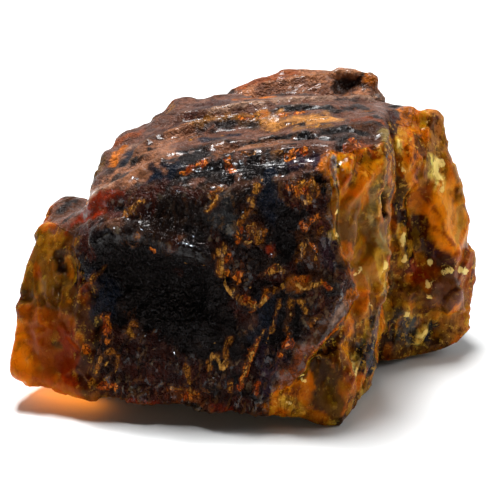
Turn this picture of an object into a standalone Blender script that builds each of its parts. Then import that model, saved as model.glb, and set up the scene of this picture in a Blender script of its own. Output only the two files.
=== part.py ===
"""A rough lump of amber: one solid, resting on the high spots of its underside.

The lump starts as a few convex blocks of named corners. They are joined, given
an even skin, and then worn in code: bedding ledges on the top, fibres down the
dark front, shell-shaped fractures on the clear faces, and its own ridges and
pits. Metres, +Z up, +X along the longest side, -Y towards the dark front.
"""

import math

import bmesh
import bpy
import numpy as np
from mathutils import Vector, noise

MM = 0.001

# Overall size of the lump.
LENGTH = 0.0800
DEPTH = 0.0560
HEIGHT = 0.0475

# How finely the skin is laid before it is worn, and how many facets it keeps.
SKIN_VOXEL = 0.70 * MM
CREASE_PASSES = 3
TRIANGLES = 9600

# Which way a face must look to count as top, underside or front, as the range
# over which its normal's share of that direction fades in.
TOP_TILT = (0.45, 0.80)
UNDERSIDE_TILT = (0.55, 0.85)
FRONT_TILT = (0.55, 0.85)

# Where the dark front ends, along X.
FRONT_RIGHT_END = (15.5 * MM, 12.5 * MM)
FRONT_LEFT_END = (-29.0 * MM, -25.0 * MM)

# Broad unevenness of every face, and small lumps with creases between them.
BROAD_SIZE = 17.0 * MM
BROAD_HEIGHT = 0.85 * MM
LUMP_SIZE = 5.5 * MM
LUMP_HEIGHT = 0.95 * MM
LUMP_MIDDLE = 0.25
UNDERSIDE_CALM = 0.7

# Bedding: thin layers that come out as ledges on the top.
BEDDING_NORMAL = Vector((-0.16, 0.20, 1.0)).normalized()
LEDGE_HEIGHT = 1.15 * MM
LEDGE_WAVER = 0.9 * MM
LEDGE_WAVER_SIZE = (26.0 * MM, 7.0 * MM, 12.0 * MM)
LEDGE_FRAY = 0.35 * MM
LEDGE_FRAY_SIZE = 3.6 * MM
LEDGE_PATCH = 13.0 * MM
LEDGE_PATCH_FADE = (-0.30, 0.20)
LEDGE_LEAST = 0.35
LEDGE_RISER = 0.72

# Fibres that run down the front, leaning to the left.
FIBRE_LEAN = math.radians(14.0)
FIBRE_LENGTH = 10.0 * MM
FIBRE_WIDTH = 2.6 * MM
FIBRE_HEIGHT = 0.55 * MM
FIBRE_PATCH = 12.0 * MM
FIBRE_PATCH_FADE = (-0.25, 0.35)
FIBRE_SHARPNESS = 1.8

# Shell-shaped fractures: wide scoops and small ones, meeting in ridges.
WIDE_SHELL = 15.0 * MM
WIDE_SHELL_DEPTH = 2.0 * MM
SMALL_SHELL = 6.0 * MM
SMALL_SHELL_DEPTH = 1.0 * MM
SHELL_RIM = 0.75
SHELL_MIDDLE = 0.6
SMALL_SHELL_MEAN = 0.65
SMALL_SHELL_SPREAD = 0.75
SMALL_SHELL_RANGE = (0.1, 1.3)
CLEAR_SHELLS = 0.9
FRONT_SHELLS = 0.3
TOP_SHELLS = 0.15

# The underside: hollow between its feet, cut level through them.
UNDERSIDE_HOLLOW = 1.6 * MM
UNDERSIDE_SHELLS = 0.55
FOOT_WIDTH = 4.5 * MM
FOOT_CUT = 0.80 * MM
FOOT_SNAP = 0.06 * MM
FEET = {
    "front foot": (13.0, -23.5, 0.0),
    "left foot": (-20.0, -7.0, 0.0),
    "back foot": (-3.0, 18.0, 0.0),
    "right foot": (31.0, 5.0, 0.0),
}

# Each kind of noise is read at its own distance from the lump.
SHIFTS = {
    "broad": 31.0 * MM,
    "lumps": 17.0 * MM,
    "fibre patches": 90.0 * MM,
    "small shells": 50.0 * MM,
    "shell depth": -43.0 * MM,
    "ledge waver": 70.0 * MM,
    "ledge fray": -20.0 * MM,
}

# Colour and finish of the raw piece.
AMBER_BROWN = (0.20, 0.055, 0.012, 1.0)
AMBER_ROUGHNESS = 0.32

# Corners of the blocks, in millimetres.
FRONT_BLOCK = {
    "front foot": (15.0, -26.3, 0.0),
    "front foot left": (8.0, -27.3, 1.0),
    "bottom edge middle": (-4.0, -26.8, 3.4),
    "bottom edge left": (-16.0, -24.0, 4.9),
    "bottom edge far left": (-28.0, -22.8, 3.4),
    "left upright low": (-27.0, -22.0, 11.0),
    "left upright middle": (-26.5, -20.0, 19.4),
    "ridge far left": (-26.6, -13.2, 31.9),
    "ridge left": (-22.4, -14.2, 34.9),
    "bend middle low": (-12.0, -18.6, 37.0),
    "bend middle high": (-12.8, -13.0, 41.4),
    "bend right low": (-1.6, -20.4, 38.2),
    "bend right high": (-1.6, -14.6, 42.8),
    "bend far right low": (6.2, -21.0, 39.4),
    "bend far right high": (6.2, -15.6, 43.8),
    "crust corner low": (13.0, -21.0, 41.6),
    "crust corner high": (13.4, -17.0, 44.5),
    "crust edge high": (13.1, -22.4, 36.8),
    "crust edge middle": (13.9, -24.2, 27.7),
    "crust edge low": (15.0, -24.8, 20.0),
    "crust foot": (11.0, -27.0, 11.0),
    "right corner": (21.3, -13.5, 43.4),
    "right corner back": (22.4, -6.0, 45.6),
    "right crest high": (21.0, -15.2, 36.0),
    "right crest bulge": (24.2, -10.4, 27.0),
    "right crest middle": (23.8, -11.8, 21.0),
    "right crest low": (22.0, -15.2, 14.0),
    "right crest lower": (18.8, -20.0, 7.0),
    "right crest foot": (16.2, -23.4, 0.4),
    "side foot": (22.4, -8.4, 0.0),
    "shoulder left": (-25.2, 0.0, 38.6),
    "shoulder": (-22.0, 4.0, 41.0),
    "shoulder back": (-15.9, 8.0, 43.5),
    "top back left": (-11.3, 10.0, 44.8),
    "top back middle": (-3.8, 12.0, 45.9),
    "top back": (8.8, 13.0, 45.2),
    "top back right": (23.6, 11.0, 44.8),
    "left side": (-28.0, 2.0, 24.0),
    "underside left": (-22.0, -10.0, 0.0),
    "underside left back": (-22.0, 6.0, 0.0),
    "underside back": (-8.0, 16.0, 0.0),
    "underside back right": (16.0, 16.0, 0.0),
    "underside right": (22.0, 0.0, 0.0),
}
LEFT_BLOCK = {
    "bottom edge": (-27.0, -22.8, 3.0),
    "left tip low": (-38.4, -18.6, 4.6),
    "left tip": (-38.6, -16.8, 8.4),
    "left edge low": (-36.4, -15.0, 13.0),
    "left edge middle": (-38.6, -12.0, 20.4),
    "left end of the ridge": (-36.0, -9.5, 27.6),
    "ridge": (-27.0, -12.6, 31.4),
    "upright": (-27.0, -20.4, 16.0),
    "lug tip": (-34.4, 1.6, 27.4),
    "lug top": (-32.6, 3.0, 29.2),
    "lug top back": (-30.0, 6.0, 28.6),
    "lug step": (-28.2, 2.0, 29.0),
    "lug back": (-27.6, 9.0, 25.0),
    "side": (-35.6, 1.0, 18.0),
    "side low": (-33.0, 0.0, 6.0),
    "side back": (-31.0, 8.0, 12.0),
    "inside": (-18.0, -8.0, 15.0),
    "inside high": (-20.0, -8.0, 29.0),
    "underside": (-24.0, 0.0, 1.0),
}
RIGHT_BLOCK = {
    "top front": (23.0, 2.0, 45.2),
    "top right": (28.0, 7.0, 44.9),
    "shoulder": (33.6, 9.0, 42.9),
    "shoulder low": (34.2, 9.0, 38.1),
    "right edge high": (34.9, 9.0, 33.2),
    "right edge": (38.2, 9.0, 25.8),
    "right tip": (42.6, 8.0, 13.0),
    "right edge low": (40.2, 6.0, 8.6),
    "right corner": (38.8, 3.4, 4.8),
    "bottom edge right": (36.8, 2.9, 1.8),
    "bottom edge": (30.3, 0.6, 0.0),
    "bottom edge left": (23.8, -5.0, 0.0),
    "cleft edge low": (26.0, -3.6, 7.3),
    "cleft edge": (27.2, -2.6, 21.3),
    "cleft edge high": (26.4, -0.6, 38.5),
    "face bulge low": (33.4, -0.4, 13.5),
    "face bulge high": (33.0, 1.6, 28.0),
    "top back left": (20.0, 16.0, 44.0),
    "top back": (31.0, 17.0, 40.5),
    "back edge high": (35.6, 17.0, 30.0),
    "back edge": (39.4, 16.0, 14.0),
    "back edge low": (36.0, 20.0, 4.0),
    "underside back": (28.0, 22.0, 0.0),
    "underside left": (12.0, 12.0, 0.0),
}
BACK_BLOCK = {
    "left low": (-25.0, 12.0, 1.5),
    "left": (-30.0, 10.0, 14.0),
    "left high": (-27.0, 9.5, 26.0),
    "left shoulder": (-20.5, 10.5, 36.5),
    "back left low": (-9.0, 21.5, 1.0),
    "back left": (-14.0, 24.0, 13.0),
    "back left high": (-13.0, 22.0, 30.0),
    "back shoulder": (-9.0, 16.0, 40.5),
    "back low": (9.0, 25.5, 4.0),
    "back middle": (13.0, 28.0, 20.0),
    "back high": (8.0, 26.5, 35.0),
    "back right low": (25.0, 25.0, 10.0),
    "back right": (29.0, 24.5, 25.0),
    "back right high": (25.0, 22.5, 38.0),
    "underside back": (18.0, 22.0, 0.0),
    "underside right": (30.0, 22.5, 3.0),
    "inside front": (0.0, 0.0, 20.0),
    "inside left": (-29.0, -3.0, 12.0),
    "inside left high": (-23.0, -1.0, 29.0),
    "inside right": (34.5, 11.0, 10.0),
    "inside right high": (33.0, 11.0, 30.0),
    "valley left": (-7.0, 14.0, 43.2),
    "valley right": (22.0, 15.0, 43.8),
}
BACK_HUMP = {
    "front left": (-5.4, 17.5, 41.6),
    "left step": (-4.4, 20.0, 44.4),
    "left rise": (-2.2, 21.6, 45.3),
    "crest left": (4.2, 21.6, 47.0),
    "crest": (9.2, 22.0, 47.6),
    "crest right": (18.6, 22.0, 48.5),
    "right step": (23.8, 21.4, 47.6),
    "right drop": (26.0, 19.6, 44.0),
    "front right": (20.0, 16.0, 43.6),
    "front": (6.0, 15.8, 43.0),
    "back crest": (8.0, 25.8, 43.6),
    "back crest right": (22.0, 25.4, 44.4),
    "right end back": (26.4, 24.0, 41.6),
    "back left": (-9.0, 21.0, 30.0),
    "back": (6.0, 25.5, 26.0),
    "back right": (24.0, 24.0, 28.0),
    "inside": (10.0, 8.0, 30.0),
}
JOINED_BLOCKS = {
    "left_block": LEFT_BLOCK,
    "right_block": RIGHT_BLOCK,
    "back_block": BACK_BLOCK,
    "back_hump": BACK_HUMP,
}

# Ridges and hollows of its own: start, end, half width and height (mm),
# where a height below zero cuts into the lump.
RELIEF = {
    "brow over the front hollow": ((-24.0, -16.5, 29.5), (-8.0, -20.5, 27.5), 2.6, 0.8),
    "front hollow": ((-19.0, -19.5, 21.5), (-9.0, -21.5, 20.0), 5.6, -2.0),
    "front hollow low": ((-19.0, -20.5, 16.5), (-15.0, -21.5, 15.0), 3.2, -1.0),
    "rib left of the front hollow": ((-23.5, -18.0, 26.0), (-23.0, -22.0, 8.0), 2.0, 0.8),
    "rib right of the front hollow": ((-5.0, -20.0, 33.0), (-7.0, -24.0, 15.0), 2.0, 0.9),
    "upper front dent": ((2.0, -20.0, 33.0), (6.0, -21.0, 27.0), 3.0, -0.9),
    "undercut below the glossy bevel": ((14.0, -26.0, 14.0), (8.0, -27.5, 3.0), 3.6, -1.2),
    "glossy bevel": ((14.6, -24.5, 25.0), (8.0, -26.0, 13.0), 2.4, 0.9),
    "dent above the glossy bevel": ((9.0, -22.5, 25.0), (5.0, -23.5, 18.0), 2.6, -0.9),
    "lower front rib": ((1.0, -25.0, 17.0), (-5.0, -26.0, 5.0), 1.8, 0.9),
    "lower front groove": ((5.0, -25.5, 16.0), (-1.0, -27.0, 4.0), 1.6, -0.9),
    "lower left groove": ((-9.0, -23.0, 13.0), (-12.0, -24.5, 4.0), 1.6, -0.8),
    "dip behind the lug": ((-27.6, 0.0, 30.0), (-30.0, -5.0, 29.0), 2.2, -1.0),
    "left end pit": ((-29.5, -15.5, 23.0), (-29.5, -15.5, 21.0), 2.2, -1.7),
    "left end dent": ((-36.5, -15.0, 18.4), (-34.0, -17.0, 17.6), 1.8, -1.0),
    "left end rib": ((-31.5, -15.0, 27.0), (-33.0, -18.5, 9.0), 1.7, 0.7),
    "clear face hollow": ((17.6, -17.0, 34.0), (18.6, -17.6, 27.0), 3.0, -1.4),
    "clear face ledge": ((15.4, -20.0, 25.5), (22.0, -14.0, 23.5), 1.7, 0.9),
    "clear face low hollow": ((18.0, -19.0, 18.0), (15.5, -22.5, 11.0), 2.6, -1.1),
    "crest notch": ((21.0, -14.0, 36.0), (21.6, -12.8, 34.0), 1.8, -1.5),
    "cleft": ((25.6, -2.2, 44.0), (26.0, -5.0, 12.0), 2.1, -1.6),
    "side hollow": ((24.6, -9.0, 16.0), (22.6, -12.0, 8.0), 2.4, -0.9),
    "right face furrow": ((30.5, -0.4, 34.0), (30.5, -1.2, 17.0), 2.2, -1.4),
    "right face rib": ((34.6, 3.0, 31.0), (35.8, 2.4, 12.0), 2.0, 0.9),
    "right face low dent": ((29.5, -1.8, 9.0), (32.5, -0.8, 7.0), 2.4, -1.1),
    "hump hollow": ((16.5, 20.5, 46.8), (19.0, 19.5, 45.4), 2.0, -1.5),
    "hump left ledge": ((-2.0, 18.0, 44.0), (6.0, 20.0, 46.0), 1.6, 0.7),
    "top trough": ((-14.0, -4.0, 43.0), (8.0, -6.0, 45.0), 2.6, -0.8),
    "top rib": ((-10.0, 2.0, 44.5), (16.0, 1.0, 46.0), 1.6, 0.8),
    "top left dent": ((-21.5, -4.0, 38.0), (-19.0, -2.0, 40.0), 2.6, -1.2),
    "back scoop": ((-4.0, 26.5, 20.0), (4.0, 27.5, 16.0), 7.0, -2.4),
    "back rib": ((12.0, 27.5, 30.0), (18.0, 27.0, 8.0), 2.2, 1.1),
    "back right scoop": ((22.0, 26.5, 28.0), (25.0, 25.5, 18.0), 5.0, -1.8),
    "back ledge": ((-8.0, 24.5, 29.0), (6.0, 27.0, 27.0), 1.8, 1.0),
    "back low groove": ((-2.0, 25.0, 8.0), (14.0, 26.5, 10.0), 2.2, -1.0),
    "left back scoop": ((-27.0, 13.0, 18.0), (-24.0, 16.0, 14.0), 5.0, -1.8),
}


def clear_scene():
    """Remove every object that the scene starts with."""
    for scene_object in list(bpy.data.objects):
        bpy.data.objects.remove(scene_object, do_unlink=True)


def new_collection(name):
    """Return a new collection, linked to the scene."""
    collection = bpy.data.collections.new(name)
    bpy.context.scene.collection.children.link(collection)
    return collection


def convex_block(name, corners, collection):
    """Make one convex block around its named corners."""
    shape = bmesh.new()
    for corner in corners.values():
        shape.verts.new(Vector(corner) * MM)
    hull = bmesh.ops.convex_hull(shape, input=shape.verts, use_existing_faces=False)
    spare = set(hull["geom_interior"]) | set(hull["geom_unused"])
    spare_corners = [item for item in spare if isinstance(item, bmesh.types.BMVert)]
    bmesh.ops.delete(shape, geom=spare_corners, context="VERTS")
    bmesh.ops.recalc_face_normals(shape, faces=shape.faces)
    mesh = bpy.data.meshes.new(name)
    shape.to_mesh(mesh)
    shape.free()
    block = bpy.data.objects.new(name, mesh)
    collection.objects.link(block)
    return block


def join_blocks(lump, cutters):
    """Join the other blocks to the lump with Boolean unions."""
    for name, corners in JOINED_BLOCKS.items():
        block = convex_block(name, corners, cutters)
        block.hide_render = True
        block.display_type = "WIRE"
        union = lump.modifiers.new(name, "BOOLEAN")
        union.operation = "UNION"
        union.object = block


def lay_skin(lump):
    """Give the lump an even skin."""
    skin = lump.modifiers.new("even_skin", "REMESH")
    skin.mode = "VOXEL"
    skin.voxel_size = SKIN_VOXEL


def soften_creases(lump):
    """Round the straight edges that the blocks leave."""
    smooth = lump.modifiers.new("soft_creases", "SMOOTH")
    smooth.factor = 0.5
    smooth.iterations = CREASE_PASSES


def keep_fewer_facets(lump):
    """Keep only as many facets as the shape needs."""
    facets = lump.modifiers.new("facets", "DECIMATE")
    lump.data.calc_loop_triangles()
    facets.ratio = TRIANGLES / len(lump.data.loop_triangles)


def apply_modifiers(lump):
    """Make the shape that the modifiers give the lump's own mesh."""
    bpy.context.view_layer.update()
    seen = lump.evaluated_get(bpy.context.evaluated_depsgraph_get())
    mesh = bpy.data.meshes.new_from_object(seen)
    lump.modifiers.clear()
    lump.data = mesh


def fade(limits, values):
    """Rise smoothly from 0 at the first limit to 1 at the second."""
    low, high = limits
    share = np.clip((values - low) / (high - low), 0.0, 1.0)
    return share * share * (3.0 - 2.0 * share)


def noise_at(points, size, kind=None):
    """Return smooth noise from about -1 to 1, in lumps of the given size."""
    scaled = (points + SHIFTS.get(kind, 0.0)) / np.array(size)
    return np.array([noise.noise(Vector(point)) for point in scaled])


def shell_rims(points, size, kind=None):
    """Return 0 in the middle of each fracture shell and 1 on the ridges between."""
    scaled = (points + SHIFTS.get(kind, 0.0)) / size
    nearest = np.array([noise.voronoi(Vector(point))[0][0] for point in scaled])
    return np.clip(nearest / SHELL_RIM, 0.0, 1.0) ** 2


def nearness(points, start, end, half_width):
    """Return 1 on the line from start to end, fading out past its half width."""
    start_point = np.array(start) * MM
    run = np.array(end) * MM - start_point
    along = np.clip((points - start_point) @ run / max(run @ run, 1e-12), 0.0, 1.0)
    gap = np.linalg.norm(points - start_point - along[:, None] * run, axis=1)
    return np.exp(-((gap / (half_width * MM)) ** 2))


def broad_relief(points):
    """Uneven every face a little."""
    broad = noise_at(points, BROAD_SIZE, "broad") * BROAD_HEIGHT
    lumps = np.abs(noise_at(points, LUMP_SIZE, "lumps")) - LUMP_MIDDLE
    return broad - lumps * LUMP_HEIGHT


def fibre_relief(points):
    """Ridges that run down the front, leaning to the left."""
    sideways = points[:, 0] * math.cos(FIBRE_LEAN) - points[:, 2] * math.sin(FIBRE_LEAN)
    along = points[:, 0] * math.sin(FIBRE_LEAN) + points[:, 2] * math.cos(FIBRE_LEAN)
    combed = np.stack((sideways, points[:, 1], along), axis=1)
    fibres = np.abs(noise_at(combed, (FIBRE_WIDTH, FIBRE_LENGTH, FIBRE_LENGTH)))
    patches = fade(FIBRE_PATCH_FADE, noise_at(points, FIBRE_PATCH, "fibre patches"))
    return (0.5 - fibres * FIBRE_SHARPNESS) * FIBRE_HEIGHT * patches


def shell_relief(points):
    """Scoops of two sizes, as amber breaks, deeper in some places than in others."""
    wide = (shell_rims(points, WIDE_SHELL) - SHELL_MIDDLE) * WIDE_SHELL_DEPTH
    small = shell_rims(points, SMALL_SHELL, "small shells") - SHELL_MIDDLE
    uneven = noise_at(points, WIDE_SHELL, "shell depth") * SMALL_SHELL_SPREAD
    depth = np.clip(SMALL_SHELL_MEAN + uneven, *SMALL_SHELL_RANGE)
    return wide + small * depth * SMALL_SHELL_DEPTH


def own_relief(points):
    """The lump's own named ridges and hollows."""
    height = np.zeros(len(points))
    for start, end, half_width, rise in RELIEF.values():
        height += nearness(points, start, end, half_width) * rise * MM
    return height


def underside_relief(points):
    """Break the underside up and in between its feet, which stand a little proud."""
    feet = [nearness(points, foot, foot, FOOT_WIDTH / MM) for foot in FEET.values()]
    between = 1.0 - np.max(feet, axis=0)
    shells = shell_relief(points) * UNDERSIDE_SHELLS
    return FOOT_CUT + between * (shells - UNDERSIDE_HOLLOW)


def ledge_lift(points):
    """Return how far each point moves along the bedding normal to form ledges."""
    waver = noise_at(points, LEDGE_WAVER_SIZE, "ledge waver") * LEDGE_WAVER
    fray = noise_at(points, LEDGE_FRAY_SIZE, "ledge fray") * LEDGE_FRAY
    level = (points @ np.array(BEDDING_NORMAL) + waver + fray) / LEDGE_HEIGHT
    tread = np.floor(level)
    riser = fade((LEDGE_RISER, 1.0), level - tread)
    patches = fade(LEDGE_PATCH_FADE, noise_at(points, LEDGE_PATCH))
    strength = LEDGE_LEAST + (1.0 - LEDGE_LEAST) * patches
    return (tread + riser - level + 0.5 * LEDGE_RISER) * LEDGE_HEIGHT * strength


def wear(lump):
    """Move the skin in and out to the worn shape of each face."""
    mesh = lump.data
    points = np.empty(len(mesh.vertices) * 3)
    normals = np.empty(len(mesh.vertices) * 3)
    mesh.vertices.foreach_get("co", points)
    mesh.vertices.foreach_get("normal", normals)
    points = points.reshape(-1, 3)
    normals = normals.reshape(-1, 3)

    top = fade(TOP_TILT, normals[:, 2])
    underside = fade(UNDERSIDE_TILT, -normals[:, 2])
    sides = (1.0 - top) * (1.0 - underside)
    front = fade(FRONT_TILT, -normals[:, 1]) * sides
    front *= fade(FRONT_RIGHT_END, points[:, 0]) * fade(FRONT_LEFT_END, points[:, 0])
    clear = sides * (1.0 - front)

    shells = CLEAR_SHELLS * clear + FRONT_SHELLS * front + TOP_SHELLS * top
    height = broad_relief(points) * (1.0 - UNDERSIDE_CALM * underside)
    height += fibre_relief(points) * front
    height += shell_relief(points) * shells
    height += own_relief(points)
    height += underside_relief(points) * underside
    lift = ledge_lift(points) * top
    points += normals * height[:, None] + np.array(BEDDING_NORMAL) * lift[:, None]
    mesh.vertices.foreach_set("co", points.ravel())
    mesh.update()


def stand_level(lump):
    """Cut the lowest spots of the underside level, as the lump's feet."""
    shape = bmesh.new()
    shape.from_mesh(lump.data)
    foot_level = min(corner.co.z for corner in shape.verts) + FOOT_CUT
    everything = list(shape.verts) + list(shape.edges) + list(shape.faces)
    bmesh.ops.bisect_plane(
        shape,
        geom=everything,
        dist=FOOT_SNAP,
        plane_co=(0.0, 0.0, foot_level),
        plane_no=(0.0, 0.0, -1.0),
        clear_outer=True,
    )
    for corner in shape.verts:
        if corner.co.z < foot_level + FOOT_SNAP:
            corner.co.z = foot_level
    rims = [edge for edge in shape.edges if edge.is_boundary]
    bmesh.ops.holes_fill(shape, edges=rims, sides=0)
    bmesh.ops.dissolve_degenerate(shape, dist=FOOT_SNAP, edges=shape.edges)
    bmesh.ops.triangulate(shape, faces=shape.faces)
    bmesh.ops.recalc_face_normals(shape, faces=shape.faces)
    shape.to_mesh(lump.data)
    shape.free()


def set_size(lump):
    """Give the lump its exact size, with its origin under the middle of its box."""
    mesh = lump.data
    points = np.empty(len(mesh.vertices) * 3)
    mesh.vertices.foreach_get("co", points)
    points = points.reshape(-1, 3)
    low = points.min(axis=0)
    high = points.max(axis=0)
    middle = (low + high) / 2.0
    middle[2] = low[2]
    points = (points - middle) * np.array((LENGTH, DEPTH, HEIGHT)) / (high - low)
    mesh.vertices.foreach_set("co", points.ravel())
    mesh.update()


def amber_material():
    """Brown amber with its natural satin skin."""
    material = bpy.data.materials.new("raw_amber")
    material.use_nodes = True
    surface = material.node_tree.nodes["Principled BSDF"]
    surface.inputs["Base Color"].default_value = AMBER_BROWN
    surface.inputs["Roughness"].default_value = AMBER_ROUGHNESS
    surface.inputs["Metallic"].default_value = 0.0
    return material


def main():
    """Make the lump."""
    clear_scene()
    parts = new_collection("raw_amber_piece")
    cutters = new_collection("cutters")
    lump = convex_block("amber_lump", FRONT_BLOCK, parts)
    join_blocks(lump, cutters)
    lay_skin(lump)
    soften_creases(lump)
    apply_modifiers(lump)
    wear(lump)
    lay_skin(lump)
    apply_modifiers(lump)
    keep_fewer_facets(lump)
    apply_modifiers(lump)
    stand_level(lump)
    set_size(lump)
    lump.data.materials.clear()
    lump.data.materials.append(amber_material())


if __name__ == "__main__":
    main()
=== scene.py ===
"""A rough lump of raw amber: dark crust, clear broken faces, on a pale studio floor."""
import math
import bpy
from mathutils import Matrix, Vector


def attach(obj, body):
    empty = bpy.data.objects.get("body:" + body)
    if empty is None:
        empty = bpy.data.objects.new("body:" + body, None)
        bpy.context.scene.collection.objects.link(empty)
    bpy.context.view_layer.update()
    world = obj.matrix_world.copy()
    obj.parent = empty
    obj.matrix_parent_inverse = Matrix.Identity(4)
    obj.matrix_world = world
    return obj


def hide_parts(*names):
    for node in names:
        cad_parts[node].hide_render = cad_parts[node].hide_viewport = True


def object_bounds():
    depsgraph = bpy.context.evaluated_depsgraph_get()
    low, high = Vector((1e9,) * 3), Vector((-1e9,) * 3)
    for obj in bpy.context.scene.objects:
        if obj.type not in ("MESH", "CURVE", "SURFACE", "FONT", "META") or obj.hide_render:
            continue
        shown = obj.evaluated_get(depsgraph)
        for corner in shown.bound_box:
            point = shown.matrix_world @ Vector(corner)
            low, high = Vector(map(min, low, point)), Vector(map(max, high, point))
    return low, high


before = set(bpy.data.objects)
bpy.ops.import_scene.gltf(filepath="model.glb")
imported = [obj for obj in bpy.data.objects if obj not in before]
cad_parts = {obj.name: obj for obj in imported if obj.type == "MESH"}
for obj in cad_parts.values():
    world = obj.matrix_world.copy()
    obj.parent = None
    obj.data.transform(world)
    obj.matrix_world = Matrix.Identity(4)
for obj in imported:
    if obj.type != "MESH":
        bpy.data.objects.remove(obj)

from types import SimpleNamespace

import bmesh
import bpy
import numpy as np
from bpy.props import FloatProperty, FloatVectorProperty, IntProperty, PointerProperty
from mathutils import Vector, noise
from mathutils.bvhtree import BVHTree

bl_info = {
    "name": "Raw Amber Lump",
    "version": (1, 0, 0),
    "blender": (4, 5, 0),
    "location": "View3D > Sidebar > Raw Amber",
    "description": "Builds a rough lump of raw amber and a pale studio around it",
    "category": "Object",
}

MM = 0.001
SOLID = "amber_lump"
LUMP = "raw_amber_lump"
FINISH = "raw_amber"
CAD_BOX = [list(corner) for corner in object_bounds()]

# The camera. Every pixel below is of its frame of 500 by 500 pixels.
FRAME_PIXELS = 500
SENSOR_MM = 36.0
LENS_MM = 100.0
CAMERA_ANGLE = math.radians(20.0)
CAMERA_DISTANCE = 0.240
CAMERA_AIM = Vector((-0.0008, 0.0, 0.0206))
CAMERA_LOOK = Vector((0.0, math.cos(CAMERA_ANGLE), -math.sin(CAMERA_ANGLE)))
CAMERA_UP = Vector((0.0, math.sin(CAMERA_ANGLE), math.cos(CAMERA_ANGLE)))
CAMERA_PLACE = CAMERA_AIM - CAMERA_LOOK * CAMERA_DISTANCE
PIXELS_PER_SLOPE = FRAME_PIXELS * LENS_MM / SENSOR_MM

# A stroke is laid on the surface in steps of a few pixels, and breaks where two of its
# points land further apart than the jump.
STROKE_STEP = 5.0
STROKE_JUMP = 4.0 * MM

# A distance past any that is measured, and the least square of a length to divide by.
FAR = 1e9
TINY = 1e-12

# Height in mm of the sharpest ridges over the skin smoothed around them.
SHARP_RIDGE = 0.16

# Edge of the dark crust, in pixels.
CRUST_EDGE = (
    (48, 222), (60, 196), (100, 146), (125, 128), (160, 106), (228, 84), (285, 60),
    (350, 58), (384, 82), (390, 94), (414, 98), (413, 124), (400, 128), (389, 122), (386, 146),
    (372, 150), (358, 147), (344, 152), (330, 152), (326, 170), (332, 190), (331, 230), (338, 255),
    (347, 278), (350, 296), (338, 322), (311, 349), (291, 385), (270, 392), (268, 424),
    (240, 424), (150, 406), (108, 400), (102, 372), (97, 350), (98, 325), (94, 290),
    (90, 262), (88, 244), (72, 234),
)

COLOURS = {
    "night": (0.0028, 0.0017, 0.0018),
    "navy": (0.007, 0.013, 0.026),
    "violet": (0.030, 0.012, 0.026),
    "slate": (0.060, 0.066, 0.068),
    "soot": (0.010, 0.0040, 0.0025),
    "wine": (0.050, 0.0085, 0.0040),
    "ember": (0.230, 0.018, 0.002),
    "mauve": (0.168, 0.069, 0.043),
    # Painted sheen: a pale mauve laid where the top and the bevel catch the light.
    "pale_mauve": (0.400, 0.230, 0.150),
    # Tan: partly the top's own light brown and partly painted sheen.
    "tan": (0.400, 0.160, 0.075),
    "umber": (0.070, 0.019, 0.003),
    "rust": (0.300, 0.054, 0.002),
    "orange": (0.620, 0.155, 0.002),
    "flame": (0.820, 0.250, 0.002),
    "apricot": (0.560, 0.230, 0.050),
    "gold": (0.560, 0.260, 0.020),
    "ochre": (0.340, 0.125, 0.006),
    "olive": (0.150, 0.062, 0.006),
    "yellow": (0.640, 0.370, 0.030),
    "cream": (0.950, 0.680, 0.120),
    "straw": (0.300, 0.215, 0.065),
}

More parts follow.
